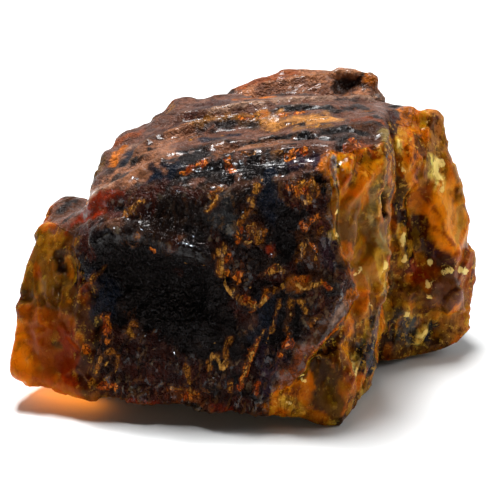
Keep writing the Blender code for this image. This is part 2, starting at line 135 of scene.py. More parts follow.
# Broad tones, each laid over those before it: colour, half width in mm, strength, then the
# pixels it runs through.
TONES = (
    # top and left shoulder; the pale mauve strokes are painted sheen, and the tan ones partly painted
    # sheen
    ("tan", 5.0, 1.0, (245, 96), (270, 84), (300, 78), (350, 74), (372, 90)),
    ("mauve", 1.4, 0.7, (262, 92), (300, 88), (330, 92)),
    ("rust", 1.2, 0.8, (234, 89), (262, 79), (290, 71)),
    ("soot", 1.6, 0.95, (340, 88), (352, 83), (366, 78)),
    ("orange", 0.9, 0.9, (367, 78), (374, 84)),
    ("orange", 0.8, 0.9, (235, 100), (255, 99), (272, 99)),
    ("mauve", 4.5, 0.8, (120, 140), (160, 122), (210, 108), (280, 108), (370, 108)),
    ("pale_mauve", 0.9, 0.8, (215, 112), (240, 108), (292, 101), (330, 99), (385, 101)),
    ("pale_mauve", 1.0, 0.5, (128, 150), (160, 136), (200, 124)),
    ("rust", 1.3, 0.7, (112, 146), (126, 138), (141, 133)),
    ("ochre", 0.8, 0.8, (141, 119), (155, 113), (170, 107)),
    ("slate", 1.0, 0.9, (280, 106), (300, 106), (328, 106)),
    ("night", 0.9, 0.9, (276, 110), (300, 108), (330, 107)),
    ("slate", 1.1, 0.6, (200, 128), (225, 122), (240, 120)),
    ("apricot", 2.4, 0.95, (284, 122), (304, 121), (326, 120)),
    ("apricot", 1.3, 0.9, (245, 123), (254, 119), (262, 116)),
    ("apricot", 1.0, 0.8, (232, 150), (250, 147), (262, 146)),
    ("apricot", 0.9, 0.8, (272, 158), (280, 154)),
    ("ochre", 1.0, 0.9, (296, 131), (312, 129), (330, 128)),
    ("night", 1.0, 1.0, (212, 162), (222, 152), (239, 145), (287, 137), (306, 136), (330, 139)),
    ("night", 1.3, 0.95, (330, 131), (345, 127), (361, 134)),
    ("night", 1.2, 0.9, (215, 128), (235, 122), (250, 124)),
    ("navy", 1.2, 0.9, (206, 142), (222, 140), (238, 137)),
    ("night", 0.9, 0.9, (336, 112), (356, 106), (372, 112)),
    ("wine", 1.6, 0.8, (150, 140), (176, 128), (196, 122)),
    ("umber", 1.4, 0.8, (180, 152), (200, 146), (216, 146)),
    ("wine", 1.6, 0.8, (205, 108), (225, 102)),
    ("orange", 0.8, 0.9, (250, 118), (262, 115)),
    ("rust", 1.0, 0.7, (358, 121), (370, 119), (381, 121)),
    ("mauve", 1.5, 0.9, (220, 158), (250, 150), (300, 146), (325, 145)),
    ("umber", 2.0, 0.9, (364, 128), (378, 130), (382, 142)),
    ("navy", 2.0, 0.8, (155, 166), (175, 158), (195, 158)),
    ("night", 2.8, 1.0, (150, 184), (180, 178), (215, 172), (262, 166), (300, 164)),
    ("night", 2.4, 0.95, (158, 172), (182, 163), (204, 154)),
    ("soot", 2.2, 0.9, (150, 196), (176, 192), (206, 190)),
    ("navy", 1.4, 0.8, (150, 176), (172, 168)),
    ("wine", 1.3, 0.8, (178, 192), (205, 196), (215, 204)),
    ("soot", 2.0, 0.9, (160, 205), (205, 215)),
    ("tan", 1.6, 0.6, (120, 158), (150, 146), (185, 134)),
    ("tan", 1.5, 0.5, (220, 150), (250, 145), (282, 143)),
    ("ochre", 1.2, 0.7, (200, 124), (225, 118), (250, 116)),
    ("tan", 2.6, 0.75, (92, 198), (115, 182), (140, 168), (158, 158)),
    ("pale_mauve", 0.9, 0.8, (96, 194), (118, 182)),
    ("ember", 2.4, 1.0, (70, 231), (84, 222), (98, 214), (116, 207)),
    ("wine", 2.2, 0.9, (116, 214), (134, 206), (150, 196)),
    ("mauve", 1.0, 0.8, (52, 234), (64, 226), (78, 212), (90, 203)),
    ("umber", 1.8, 0.8, (66, 243), (88, 232), (104, 224)),
    ("orange", 0.9, 0.8, (113, 165), (118, 155), (122, 148)),
    ("navy", 0.9, 0.95, (126, 160), (130, 152)),
    ("night", 0.9, 0.9, (113, 181), (126, 177)),
    ("olive", 1.2, 0.8, (66, 196), (82, 190), (96, 178), (104, 160)),
    ("umber", 1.6, 0.9, (58, 216), (68, 206), (78, 202)),
    ("night", 0.6, 0.9, (60, 212), (68, 205), (76, 201)),
    ("soot", 0.7, 0.9, (66, 220), (76, 212)),
    ("rust", 0.7, 0.7, (42, 230), (50, 214), (60, 200)),
    # left end
    ("olive", 3.2, 0.9, (50, 250), (56, 275), (62, 292)),
    ("umber", 1.4, 0.6, (62, 244), (58, 262), (66, 282)),
    ("ochre", 1.8, 0.6, (50, 245), (66, 246), (72, 258)),
    ("soot", 1.0, 0.9, (58, 258), (62, 268)),
    ("olive", 1.7, 0.95, (36, 236), (30, 256), (27, 280), (30, 292)),
    ("orange", 2.4, 0.95, (20, 330), (22, 350), (28, 370)),
    ("rust", 3.2, 1.0, (42, 332), (46, 352), (56, 374)),
    ("ember", 2.7, 0.95, (68, 334), (72, 352), (78, 374)),
    ("wine", 2.2, 1.0, (80, 306), (87, 332), (92, 360), (98, 384)),
    ("soot", 1.6, 0.9, (98, 296), (102, 330), (104, 362)),
    ("umber", 2.2, 1.0, (76, 240), (78, 264), (80, 290), (78, 306)),
    ("wine", 2.6, 1.0, (90, 240), (94, 272), (92, 300)),
    ("rust", 0.7, 0.7, (84, 262), (88, 284), (84, 300)),
    ("umber", 2.0, 0.85, (24, 304), (40, 304), (58, 308), (74, 310)),
    ("rust", 1.2, 0.5, (22, 312), (40, 317), (56, 319), (72, 324)),
    ("rust", 0.8, 0.4, (22, 306), (36, 311), (60, 315)),
    ("orange", 1.1, 0.95, (46, 381), (66, 388), (86, 394)),
    ("ember", 1.2, 0.9, (84, 390), (104, 397), (118, 400)),
    # front
    ("night", 6.5, 1.0, (125, 265), (150, 285), (165, 320), (190, 290)),
    ("wine", 3.0, 0.6, (150, 350), (180, 375), (140, 380)),
    ("navy", 2.2, 0.7, (100, 290), (104, 305)),
    ("night", 3.4, 0.9, (195, 260), (215, 300), (225, 335)),
    ("slate", 1.6, 0.55, (225, 200), (215, 215), (232, 228)),
    ("navy", 2.2, 0.8, (268, 195), (280, 215)),
    ("night", 2.2, 1.0, (288, 216), (290, 240), (292, 262)),
    ("ember", 0.6, 0.95, (271, 250), (274, 255)),
    ("umber", 2.2, 0.85, (306, 240), (312, 256), (318, 272)),
    ("wine", 1.6, 0.9, (268, 284), (284, 276), (292, 276)),
    ("orange", 1.1, 0.8, (295, 284), (304, 282)),
    ("night", 2.6, 0.9, (262, 300), (275, 325), (262, 345)),
    ("navy", 1.5, 0.7, (262, 300), (270, 315), (255, 335)),
    ("wine", 1.7, 0.9, (318, 296), (328, 302), (318, 318)),
    ("night", 2.0, 0.9, (296, 310), (298, 330), (282, 360)),
    ("wine", 1.0, 0.9, (340, 276), (346, 290), (344, 302)),
    ("mauve", 0.7, 0.95, (344, 302), (336, 316), (322, 332), (303, 348)),
    # painted sheen along the bevel
    ("pale_mauve", 0.4, 0.8, (343, 300), (337, 314), (324, 329), (312, 340)),
    ("violet", 2.0, 0.9, (270, 362), (286, 374), (272, 390)),
    ("violet", 1.5, 0.7, (330, 240), (328, 262)),
    ("violet", 1.5, 0.7, (296, 164), (312, 162)),
    ("rust", 1.0, 0.8, (172, 396), (190, 398), (206, 402)),
    ("wine", 1.2, 0.85, (205, 400), (230, 408), (262, 411)),
    ("ember", 0.5, 0.8, (212, 406), (236, 413), (258, 415)),
    ("wine", 1.2, 0.85, (108, 394), (140, 397), (165, 400)),
    ("ember", 0.5, 0.8, (112, 399), (136, 401), (158, 404)),
    # clear right face
    ("ochre", 3.0, 0.8, (342, 200), (360, 215), (372, 225)),
    ("umber", 1.2, 0.8, (352, 158), (354, 176), (348, 196)),
    ("umber", 1.0, 0.8, (368, 160), (366, 176), (358, 192)),
    ("orange", 2.0, 0.9, (338, 162), (340, 176), (350, 200)),
    ("flame", 1.1, 0.95, (336, 160), (341, 168), (339, 178)),
    ("rust", 1.6, 0.9, (358, 154), (370, 153), (380, 156)),
    ("orange", 2.0, 0.9, (364, 168), (360, 184), (352, 196)),
    ("flame", 0.9, 0.8, (376, 164), (370, 178), (364, 188)),
    ("olive", 1.2, 0.8, (332, 190), (334, 206)),
    ("olive", 2.4, 0.7, (350, 208), (364, 216)),
    ("orange", 1.4, 0.8, (374, 170), (372, 186), (366, 200)),
    ("yellow", 0.8, 0.8, (333, 233), (340, 236)),
    ("olive", 2.6, 0.85, (350, 232), (372, 232), (382, 246)),
    ("orange", 1.3, 0.9, (342, 252), (352, 254)),
    ("ochre", 2.6, 0.9, (352, 268), (366, 276), (372, 292)),
    ("yellow", 1.1, 0.9, (378, 256), (382, 272), (380, 288)),
    ("orange", 2.2, 0.95, (348, 290), (354, 308), (346, 326)),
    ("olive", 1.8, 0.8, (360, 322), (362, 336), (354, 350)),
    ("umber", 4.4, 1.0, (326, 344), (320, 372), (330, 400)),
    ("soot", 1.5, 0.6, (322, 342), (332, 346)),
    ("soot", 2.2, 0.6, (326, 362), (320, 386)),
    ("olive", 2.0, 0.7, (330, 395), (336, 412)),
    ("flame", 1.2, 0.95, (342, 350), (348, 360), (351, 370)),
    ("umber", 1.8, 0.9, (286, 384), (298, 380), (310, 384)),
    ("orange", 0.6, 0.9, (306, 366), (308, 376), (311, 386)),
    ("ochre", 0.8, 0.8, (341, 384), (346, 398)),
    ("orange", 2.2, 0.95, (282, 404), (296, 400), (300, 392)),
    ("yellow", 1.1, 0.8, (284, 404), (300, 408)),
    ("rust", 1.0, 0.8, (288, 378), (300, 366), (306, 352)),
    ("soot", 1.1, 0.9, (342, 420), (348, 414)),
    ("yellow", 0.5, 0.9, (330, 423), (333, 423)),
    ("cream", 0.7, 0.9, (355, 360), (354, 376)),
    ("soot", 0.5, 0.9, (335, 160), (333, 176), (338, 194), (337, 230), (344, 254), (352, 270)),
    ("rust", 0.5, 0.9, (344, 271), (349, 280), (350, 292), (346, 304)),
    ("soot", 0.6, 0.9, (354, 296), (345, 320), (322, 346), (300, 378)),
    ("orange", 0.5, 0.9, (338, 330), (326, 342), (312, 350)),
    # crest and the side that turns away
    ("olive", 1.6, 0.95, (384, 176), (386, 188), (388, 240)),
    ("straw", 0.8, 0.9, (382, 180), (386, 188), (376, 200)),
    ("yellow", 0.9, 0.8, (374, 205), (376, 214)),
    ("soot", 1.1, 1.0, (382, 199), (382, 207), (384, 214)),
    ("apricot", 0.9, 0.95, (389, 206), (391, 218), (390, 232)),
    ("straw", 0.6, 0.95, (384, 136), (382, 160), (373, 190), (372, 214), (377, 234), (389, 258),
     (392, 280), (381, 302), (369, 330), (355, 371)),
    ("olive", 1.2, 0.8, (386, 150), (384, 170), (380, 184)),
    ("slate", 2.0, 0.8, (384, 300), (376, 325), (370, 345)),
    ("umber", 1.2, 0.7, (392, 262), (390, 290)),
    ("navy", 1.9, 1.0, (370, 354), (371, 368)),
    ("olive", 2.0, 0.9, (376, 380), (362, 392), (356, 402)),
    ("yellow", 0.8, 0.8, (378, 376), (360, 396)),
    ("soot", 1.8, 0.95, (392, 322), (396, 335)),
    ("orange", 1.0, 0.7, (388, 350), (391, 358)),
    # cleft
    ("wine", 1.3, 0.95, (391, 112), (393, 122)),
    ("soot", 1.7, 1.0, (398, 108), (408, 106), (411, 114), (404, 119)),
    ("slate", 1.6, 0.9, (394, 150), (396, 175)),
    ("yellow", 1.0, 0.9, (398, 142), (397, 156), (403, 170)),
    ("olive", 1.4, 0.9, (402, 186), (403, 200)),
    ("navy", 1.5, 0.9, (400, 208), (410, 222)),
    ("yellow", 0.9, 0.95, (403, 230), (402, 246), (404, 262)),
    ("ochre", 1.0, 0.95, (400, 280), (402, 292)),
    ("yellow", 1.2, 0.9, (404, 310), (410, 318)),
    # right block
    ("orange", 2.6, 0.95, (412, 122), (416, 140), (414, 160)),
    ("apricot", 1.5, 0.8, (430, 122), (433, 136)),
    ("umber", 1.3, 0.8, (418, 142), (423, 156)),
    ("ochre", 1.2, 0.8, (440, 124), (444, 136), (446, 150)),
    ("cream", 1.9, 1.0, (432, 168), (437, 178), (441, 188)),
    ("orange", 1.3, 0.95, (410, 172), (416, 198), (424, 214)),
    ("flame", 3.4, 0.95, (446, 200), (456, 222), (448, 240), (440, 226)),
    ("rust", 0.35, 0.9, (432, 206), (440, 218), (442, 234), (452, 246)),
    ("gold", 0.8, 0.8, (458, 200), (463, 222), (458, 240)),
    ("olive", 1.0, 0.8, (452, 168), (460, 186), (467, 205)),
    ("soot", 1.6, 1.0, (406, 192), (411, 216), (414, 240), (410, 258)),
    ("wine", 1.8, 1.0, (418, 226), (424, 244), (434, 258), (446, 264)),
    ("violet", 0.9, 0.8, (424, 242), (432, 254)),
    ("rust", 1.8, 0.7, (418, 270), (430, 274), (422, 286)),
    ("ember", 1.3, 0.95, (413, 266), (418, 276)),
    ("wine", 2.2, 0.9, (448, 280), (442, 292), (456, 290)),
    ("rust", 2.0, 0.8, (462, 262), (470, 276), (466, 296)),
    ("mauve", 1.8, 0.7, (436, 300), (448, 300), (466, 302)),
    ("orange", 1.2, 0.9, (442, 318), (452, 310)),
    ("mauve", 1.4, 0.6, (462, 312), (456, 328)),
    ("umber", 1.6, 0.9, (416, 294), (425, 302), (418, 314)),
    ("slate", 2.0, 0.95, (404, 322), (412, 332), (408, 342)),
    ("ochre", 2.2, 0.9, (438, 322), (450, 330), (442, 342)),
    ("apricot", 1.2, 0.8, (457, 318), (460, 330)),
    ("cream", 0.9, 0.9, (418, 340), (426, 330)),
    ("navy", 1.0, 1.0, (434, 328), (428, 346)),
    ("olive", 1.6, 0.9, (404, 352), (424, 356), (446, 344)),
    ("yellow", 0.7, 0.9, (468, 322), (470, 330)),
)

# Bright marks in the crust: kind, half width in mm, then the pixels it runs through.
MARKS = (
    ("gold", 0.7, (143, 201), (132, 211), (121, 221)),
    ("gold", 0.8, (143, 234), (136, 241), (128, 243)),
    ("gold", 0.5, (103, 269), (96, 275), (92, 284)),
    ("fire", 0.9, (106, 318), (108, 330), (106, 340)),
    ("gold", 0.9, (131, 312), (133, 320), (131, 332)),
    ("fire", 0.8, (85, 345), (88, 356)),
    ("gold", 0.5, (97, 372), (101, 358), (110, 350), (118, 356), (116, 368), (106, 378)),
    ("gold", 0.4, (104, 366), (109, 359), (113, 364)),
    ("fire", 1.0, (104, 384), (112, 386)),
    ("gold", 0.6, (95, 386), (97, 376)),
    ("fire", 0.7, (209, 188), (212, 194)),
    ("gold", 0.6, (223, 198), (214, 205), (208, 212)),
    ("fire", 0.35, (152, 248), (155, 250)),
    ("gold", 0.6, (226, 188), (214, 191), (210, 196)),
    ("gold", 0.8, (258, 183), (252, 196), (250, 206)),
    ("gold", 0.9, (249, 206), (246, 216), (240, 224)),
    ("fire", 0.9, (240, 224), (239, 236), (245, 242)),
    ("gold", 1.0, (253, 224), (262, 228), (258, 234)),
    ("gold", 0.7, (258, 240), (262, 244)),
    ("fire", 1.3, (296, 186), (302, 194), (308, 190)),
    ("gold", 1.0, (300, 200), (310, 198), (314, 190), (308, 181), (298, 182)),
    ("fire", 0.8, (320, 216), (312, 222), (305, 227)),
    ("gold", 0.6, (322, 228), (314, 236)),
    ("gold", 0.9, (225, 247), (221, 258), (220, 270), (223, 282)),
    ("fire", 1.0, (222, 262), (226, 258)),
    ("fire", 1.1, (228, 274), (238, 276)),
    ("gold", 0.7, (226, 282), (234, 290), (238, 298)),
    ("fire", 0.9, (243, 300), (252, 304), (262, 298), (266, 292)),
    ("gold", 0.5, (243, 302), (254, 307), (264, 300)),
    ("gold", 0.4, (260, 276), (272, 272), (282, 271), (292, 276), (284, 286), (272, 292), (260, 294)),
    ("fire", 0.5, (262, 276), (274, 268)),
    ("gold", 0.6, (293, 288), (302, 290), (310, 285), (318, 284)),
    ("fire", 0.8, (298, 280), (306, 278)),
    ("gold", 0.5, (300, 240), (304, 256), (298, 262)),
    ("gold", 0.5, (310, 250), (318, 262)),
    ("fire", 0.5, (312, 244), (316, 250)),
    ("gold", 0.6, (209, 370), (212, 356), (218, 354), (222, 368), (227, 364)),
    ("gold", 0.5, (230, 338), (226, 346), (228, 360)),
    ("gold", 0.5, (187, 364), (189, 376), (190, 388)),
    ("fire", 0.6, (260, 333), (254, 348), (250, 358)),
    ("fire", 0.7, (248, 362), (243, 376), (240, 386)),
    ("gold", 0.4, (262, 330), (252, 352), (244, 370)),
    ("fire", 0.8, (290, 334), (286, 346), (282, 356)),
    ("gold", 0.5, (291, 300), (289, 314), (286, 330)),
    ("gold", 0.4, (280, 300), (275, 316), (272, 332)),
    ("fire", 0.6, (258, 384), (256, 392)),
    ("gold", 0.5, (232, 378), (230, 392)),
    ("fire", 1.0, (172, 392), (184, 394), (200, 398)),
    ("gold", 0.5, (170, 388), (190, 392), (204, 392)),
    ("gold", 0.5, (300, 300), (306, 312)),
    ("fire", 0.5, (322, 282), (330, 290)),
    ("gold", 0.5, (316, 318), (310, 326)),
    ("fire", 0.7, (334, 330), (322, 342), (313, 348)),
    ("gold", 0.4, (304, 356), (294, 370), (288, 382)),
    # top
    ("fire", 1.0, (245, 122), (256, 117)),
    ("gold", 0.8, (244, 124), (252, 120), (258, 116)),
    ("fire", 0.9, (280, 114), (292, 114), (303, 113)),
    ("gold", 0.8, (284, 126), (296, 124)),
    ("gold", 0.9, (306, 131), (320, 127), (328, 130)),
    ("gold", 0.8, (362, 112), (369, 112)),
    ("gold", 0.6, (243, 156), (256, 154)),
    ("gold", 0.7, (273, 158), (284, 151)),
    ("fire", 1.0, (292, 156), (304, 153)),
    ("fire", 0.9, (193, 168), (202, 164)),
    ("fire", 0.6, (180, 171), (184, 172)),
    ("fire", 0.8, (229, 162), (231, 170)),
    ("gold", 0.5, (190, 141), (200, 136)),
    ("gold", 0.5, (222, 137), (230, 136)),
    ("gold", 0.5, (198, 117), (206, 112)),
    ("gold", 0.4, (212, 187), (226, 185)),
    ("fire", 0.7, (346, 150), (350, 142), (356, 145)),
)

# Thin bright lines in the crust: half width in mm, strength, then the pixels they run through.
LINES = (
    (0.36, 1.0, (211, 367), (213, 353), (219, 356), (224, 368), (227, 361)),
    (0.22, 0.7, (206, 352), (211, 344), (218, 342), (220, 352)),
    (0.22, 0.7, (221, 340), (227, 343), (229, 354)),
    (0.28, 1.0, (226, 246), (223, 258), (222, 270), (226, 284), (233, 295), (240, 301)),
    (0.32, 1.0, (240, 301), (247, 305), (258, 306), (266, 299)),
    (0.26, 0.85, (261, 277), (271, 269), (276, 264), (284, 270),
     (291, 277), (284, 284), (272, 290), (261, 293)),
    (0.28, 1.0, (296, 284), (303, 290), (313, 286), (320, 282)),
    (0.26, 0.85, (264, 327), (256, 345), (246, 366), (239, 388)),
    (0.20, 0.7, (283, 290), (274, 317), (266, 351), (261, 368)),
    (0.24, 0.7, (293, 302), (290, 317), (288, 332)),
    (0.24, 0.7, (191, 358), (189, 374), (190, 390)),
    (0.22, 0.7, (96, 376), (99, 362), (105, 353), (111, 351)),
    (0.22, 0.7, (101, 380), (105, 366), (111, 358), (116, 360)),
    (0.24, 0.7, (108, 384), (115, 374), (119, 362), (114, 352)),
    (0.26, 0.85, (222, 191), (214, 202), (208, 213)),
    (0.24, 0.7, (262, 180), (256, 196), (248, 210)),
    (0.26, 0.85, (237, 222), (239, 234), (247, 243), (254, 240)),
    (0.22, 0.7, (243, 219), (245, 230), (251, 236)),
    (0.24, 0.7, (320, 211), (311, 222), (304, 230)),
    (0.22, 0.7, (316, 226), (309, 238), (304, 250)),
    (0.24, 0.7, (291, 184), (294, 196), (302, 204), (311, 200)),
    (0.20, 0.7, (182, 262), (196, 266), (208, 262), (222, 262)),
    (0.20, 0.7, (150, 236), (166, 240), (178, 247)),
    (0.24, 0.7, (143, 201), (134, 211), (121, 221)),
    (0.20, 0.7, (228, 188), (216, 193), (209, 200)),
    (0.22, 0.7, (281, 118), (289, 112), (301, 112)),
    (0.20, 0.7, (236, 290), (246, 286), (257, 290)),
    (0.20, 0.7, (205, 380), (212, 396)),
    (0.20, 0.7, (176, 384), (188, 396), (204, 400)),
    (0.24, 0.7, (338, 276), (342, 290), (338, 304)),
)

# Chalky spots in the clear parts, and thin pale lines there that are painted highlights.
CHALK_AND_PAINTED_HIGHLIGHTS = (
    (0.8, (425, 260), (431, 263)), (0.6, (445, 272), (453, 270)), (0.6, (460, 270), (467, 272)),
    (1.0, (429, 286), (433, 296)), (0.4, (433, 281), (436, 279)),
    (1.2, (437, 166), (439, 178), (440, 186)), (0.6, (419, 337), (426, 331)),
    (0.5, (403, 234), (402, 246)), (0.5, (404, 254), (403, 260)), (0.6, (405, 313), (410, 318)),
    (0.4, (397, 142), (396, 156), (404, 170)), (0.4, (381, 258), (383, 272)),
    (0.35, (333, 233), (340, 236)), (0.35, (355, 362), (354, 374)), (0.4, (302, 376), (304, 382)),
    (0.3, (48, 259), (50, 261)), (0.3, (333, 214), (339, 208)), (0.3, (368, 303), (371, 306)),
    (0.3, (330, 423), (333, 423)), (0.3, (286, 402), (290, 404)), (0.3, (354, 276), (360, 268)),
)

# Glossy places: half width in mm, then the pixels they run through.
GLOSS = (
    (1.6, (104, 232), (120, 228), (140, 234)),
    (1.5, (168, 238), (185, 243), (200, 247)),
    (0.8, (340, 311), (326, 327), (303, 348)),
    (1.0, (294, 162), (318, 160), (332, 170)),
    (0.8, (170, 178), (205, 172), (240, 168)),
    (0.9, (268, 372), (282, 380)),
    (2.4, (76, 222), (96, 212), (116, 206)),
    (2.2, (96, 196), (120, 184), (142, 172)),
    (1.4, (336, 160), (342, 178)),
)

# Calm places, where the clear amber shows no clouds: half width in mm, then pixels.
CALM = (
    (6.5, (45, 250), (50, 290), (40, 330), (45, 365)),
    (3.5, (76, 380), (90, 390)),
    (5.0, (446, 205), (452, 235)),
    (3.5, (436, 290), (456, 300)),
    (4.0, (350, 210), (366, 250), (350, 290)),
    (3.0, (320, 380), (330, 400)),
    (3.0, (352, 225), (368, 238)),
)

# Relief: height in mm, half width in mm, then the pixels it runs through.
RELIEF = (
    (1.9, 2.2, (17, 366), (30, 373), (45, 374), (60, 379), (75, 383), (92, 388)),
    (-1.2, 2.0, (148, 118), (165, 105), (178, 100)),
    (1.2, 1.5, (343, 74), (360, 77), (377, 81)),
    (-0.9, 1.1, (19, 298), (28, 300)),
    (1.1, 1.7, (435, 116), (439, 128), (442, 140)),
    (0.8, 1.5, (446, 160), (456, 186), (460, 200)),
    (1.5, 1.9, (98, 240), (114, 232), (132, 230), (150, 236), (172, 245), (204, 252)),
    (-1.4, 3.6, (122, 272), (150, 282), (184, 284)),
    (-0.8, 2.6, (118, 320), (130, 350)),
    (0.8, 1.4, (84, 250), (92, 280), (88, 310), (76, 340)),
    (-0.6, 2.4, (60, 330), (66, 352)),
    (0.7, 1.6, (206, 262), (212, 300), (196, 340), (176, 366)),
    (0.8, 0.9, (330, 156), (327, 172), (334, 192), (332, 228), (339, 254), (347, 278), (349, 294)),
    (0.7, 1.1, (349, 294), (338, 318), (312, 346), (292, 382)),
    (-0.7, 1.1, (338, 160), (341, 195), (341, 232), (348, 256), (357, 282), (358, 300), (346, 328)),
    (-0.8, 1.4, (340, 336), (318, 362), (300, 388)),
    (-0.7, 0.6, (212, 162), (222, 152), (239, 145), (287, 137), (306, 136), (330, 139)),
    (0.5, 1.2, (222, 160), (250, 152), (300, 147), (328, 147)),
    (0.6, 0.9, (215, 112), (240, 108), (292, 101), (330, 99), (385, 101)),
    (-0.5, 0.8, (276, 109), (300, 108), (330, 106), (352, 108)),
    (0.5, 1.1, (284, 126), (300, 123), (328, 120)),
    (-0.5, 0.7, (330, 131), (345, 128), (360, 134)),
    (0.5, 0.8, (128, 150), (160, 137), (200, 125), (240, 118)),
    (-0.4, 0.7, (134, 156), (164, 144), (204, 131)),
    (-0.6, 1.0, (126, 160), (130, 152)),
    (0.6, 1.0, (92, 200), (115, 186), (140, 172), (160, 160)),
    (-0.5, 0.9, (80, 220), (98, 210), (118, 206)),
    (-1.3, 1.3, (340, 88), (352, 83), (364, 79)),
    (-1.0, 1.0, (58, 258), (62, 268)),
    (0.5, 0.8, (84, 238), (80, 262), (82, 290), (76, 318)),
    (-1.6, 0.9, (382, 199), (384, 211)),
    (0.7, 0.8, (391, 204), (395, 218), (393, 234)),
    (0.6, 0.5, (376, 234), (387, 257), (389, 282), (378, 304), (367, 340), (355, 371), (350, 388)),
    (0.8, 0.8, (397, 142), (396, 156), (404, 170)),
    (0.7, 1.3, (296, 186), (302, 196), (310, 190)),
    (-0.8, 0.6, (311, 206), (312, 207)),
    (0.5, 0.6, (225, 247), (221, 258), (220, 270), (223, 282), (234, 290), (240, 300)),
    (0.5, 0.5, (243, 302), (254, 307), (264, 300), (284, 286), (292, 277)),
    (-0.6, 1.2, (268, 284), (284, 278)),
    (-0.8, 1.8, (286, 218), (288, 240), (290, 260)),
    (0.5, 0.8, (237, 224), (240, 236), (252, 226), (260, 232)),
    (0.6, 0.5, (262, 332), (252, 354), (240, 388)),
    (-0.6, 0.6, (268, 336), (258, 358), (248, 388)),
    (0.5, 0.6, (292, 330), (284, 352)),
    (-0.5, 0.5, (280, 330), (272, 352)),
    (0.5, 0.5, (209, 370), (212, 356), (218, 354), (222, 368), (227, 364)),
    (0.4, 0.5, (97, 372), (101, 358), (110, 350), (118, 356), (116, 368), (106, 378)),
    (0.5, 0.8, (131, 312), (133, 320), (131, 332)),
    (0.4, 0.6, (143, 201), (121, 221)),
    (0.5, 0.6, (223, 198), (208, 212)),
    (0.7, 0.9, (428, 120), (424, 140), (420, 160)),
    (-1.2, 2.0, (412, 200), (418, 236), (432, 262)),
    (0.9, 1.6, (430, 205), (440, 232), (455, 252)),
    (0.8, 1.0, (384, 132), (382, 152), (378, 190)),
    (-0.8, 1.2, (368, 196), (364, 226), (370, 244)),
    (0.8, 1.2, (384, 250), (384, 274), (378, 294)),
    (0.5, 0.9, (426, 214), (430, 238), (448, 254)),
    (0.4, 0.8, (429, 286), (434, 297)),
    (0.4, 0.8, (446, 272), (453, 270)),
    (0.4, 0.8, (425, 260), (431, 263)),
    (0.7, 0.9, (418, 340), (426, 330)),
    (-0.9, 1.0, (434, 328), (428, 346)),
    (0.7, 0.9, (403, 230), (402, 246), (404, 262)),
    (0.7, 1.0, (404, 310), (410, 318)),
    (-0.9, 1.2, (392, 322), (396, 335)),
    (-0.6, 0.8, (346, 196), (356, 178), (362, 160)),
    (0.5, 0.7, (352, 200), (366, 180), (376, 164)),
    (0.5, 0.7, (346, 262), (360, 272), (366, 292), (362, 312)),
    (-0.5, 0.7, (352, 262), (370, 276), (374, 298)),
    (0.5, 0.7, (336, 346), (346, 358), (350, 372)),
    (-0.6, 0.8, (322, 352), (326, 372), (334, 398)),
    (0.5, 0.6, (304, 366), (308, 380), (312, 396)),
)

# Shades, which multiply what lies under them, and tints, which cover it.
SHADES = {
    # The furrow shade also carries the painted shade in the hollows of the grain.
    "furrow": (0.12, 0.09, 0.11),
    "cloud": (0.14, 0.050, 0.010),
    "dim pane": (0.22, 0.13, 0.06),
    "pane seam": (0.25, 0.15, 0.08),
    "speck": (0.34, 0.20, 0.10),
    "mark seam": (0.10, 0.05, 0.04),
    "mark grit": (0.24, 0.16, 0.12),
}
TINTS = {
    "glow": (0.80, 0.26, 0.003),
    "bright pane": (0.72, 0.36, 0.012),
    "scale": (0.80, 0.45, 0.045),
    # Edge lightens sharp ridges: partly worn crumbs, partly painted glow of thin rims.
    "edge": (0.30, 0.12, 0.012),
    "brown fleck": (0.12, 0.030, 0.007),
    "grey fleck": (0.11, 0.085, 0.045),
    # Crust web: thin threads, partly painted sheen in grey-blue.
    "crust web and sheen": (0.10, 0.10, 0.11),
    "clear web": (0.50, 0.30, 0.08),
    "halo": (0.08, 0.024, 0.006),
    "dark gold": (0.24, 0.070, 0.006),
    "dark fire": (0.32, 0.045, 0.003),
}
STONE_TINT = (1.0, 0.84, 0.78)
RESIN_TINT = (1.0, 0.60, 0.34)
RESIN_SPREAD = (1.0, 0.35, 0.05)
PAPER = (0.87, 0.885, 0.89)

# How strongly crust and clear amber mirror, how dull the wet coat and the floor are, how
# far light strays in clear amber, and how high the smallest bumps are.
STONE_SHINE = 0.08
RESIN_SHINE = 0.005
COAT_ROUGHNESS = 0.12
PAPER_ROUGHNESS = 0.6
STRAY_DEPTH = 3.0 * MM
BUMP_HEIGHT = 0.9 * MM

# How far the fibres of the front, the streaks, the panes and the beds lean, in degrees.
FIBRE_LEAN = 16.0
STREAK_LEAN = 8.0
PANE_LEAN = 6.0
BED_LEAN = -9.0
BEDDING = np.array(Vector((-0.16, 0.20, 1.0)).normalized())

# Lights: name, place, size and what it shines on, all in metres, then its colour.
MIDDLE = (0.0, 0.0, 0.02)
WHITE = (1.0, 1.0, 1.0)
LIGHTS = (
    ("above", (-0.09, 0.22, 1.00), 0.34, MIDDLE, WHITE),
    ("right", (0.70, 0.15, 0.35), 0.5, MIDDLE, WHITE),
    ("key", (-0.16, 0.20, 0.70), 0.05, MIDDLE, WHITE),
    ("face", (-0.10, -0.62, 0.08), 0.30, MIDDLE, (1.0, 0.82, 0.60)),
    ("glint", (-0.22, -0.40, 0.52), 0.04, MIDDLE, (0.82, 0.92, 1.0)),
    ("spill", (-0.0320, -0.0150, 0.0028), 0.016, (-0.0330, -0.0170, 0.0), (1.0, 0.27, 0.01)),
)
SPILL_WIDTH = 0.005

# How far towards the back the sky reaches its full brightness.
SKY_REACH = 0.7


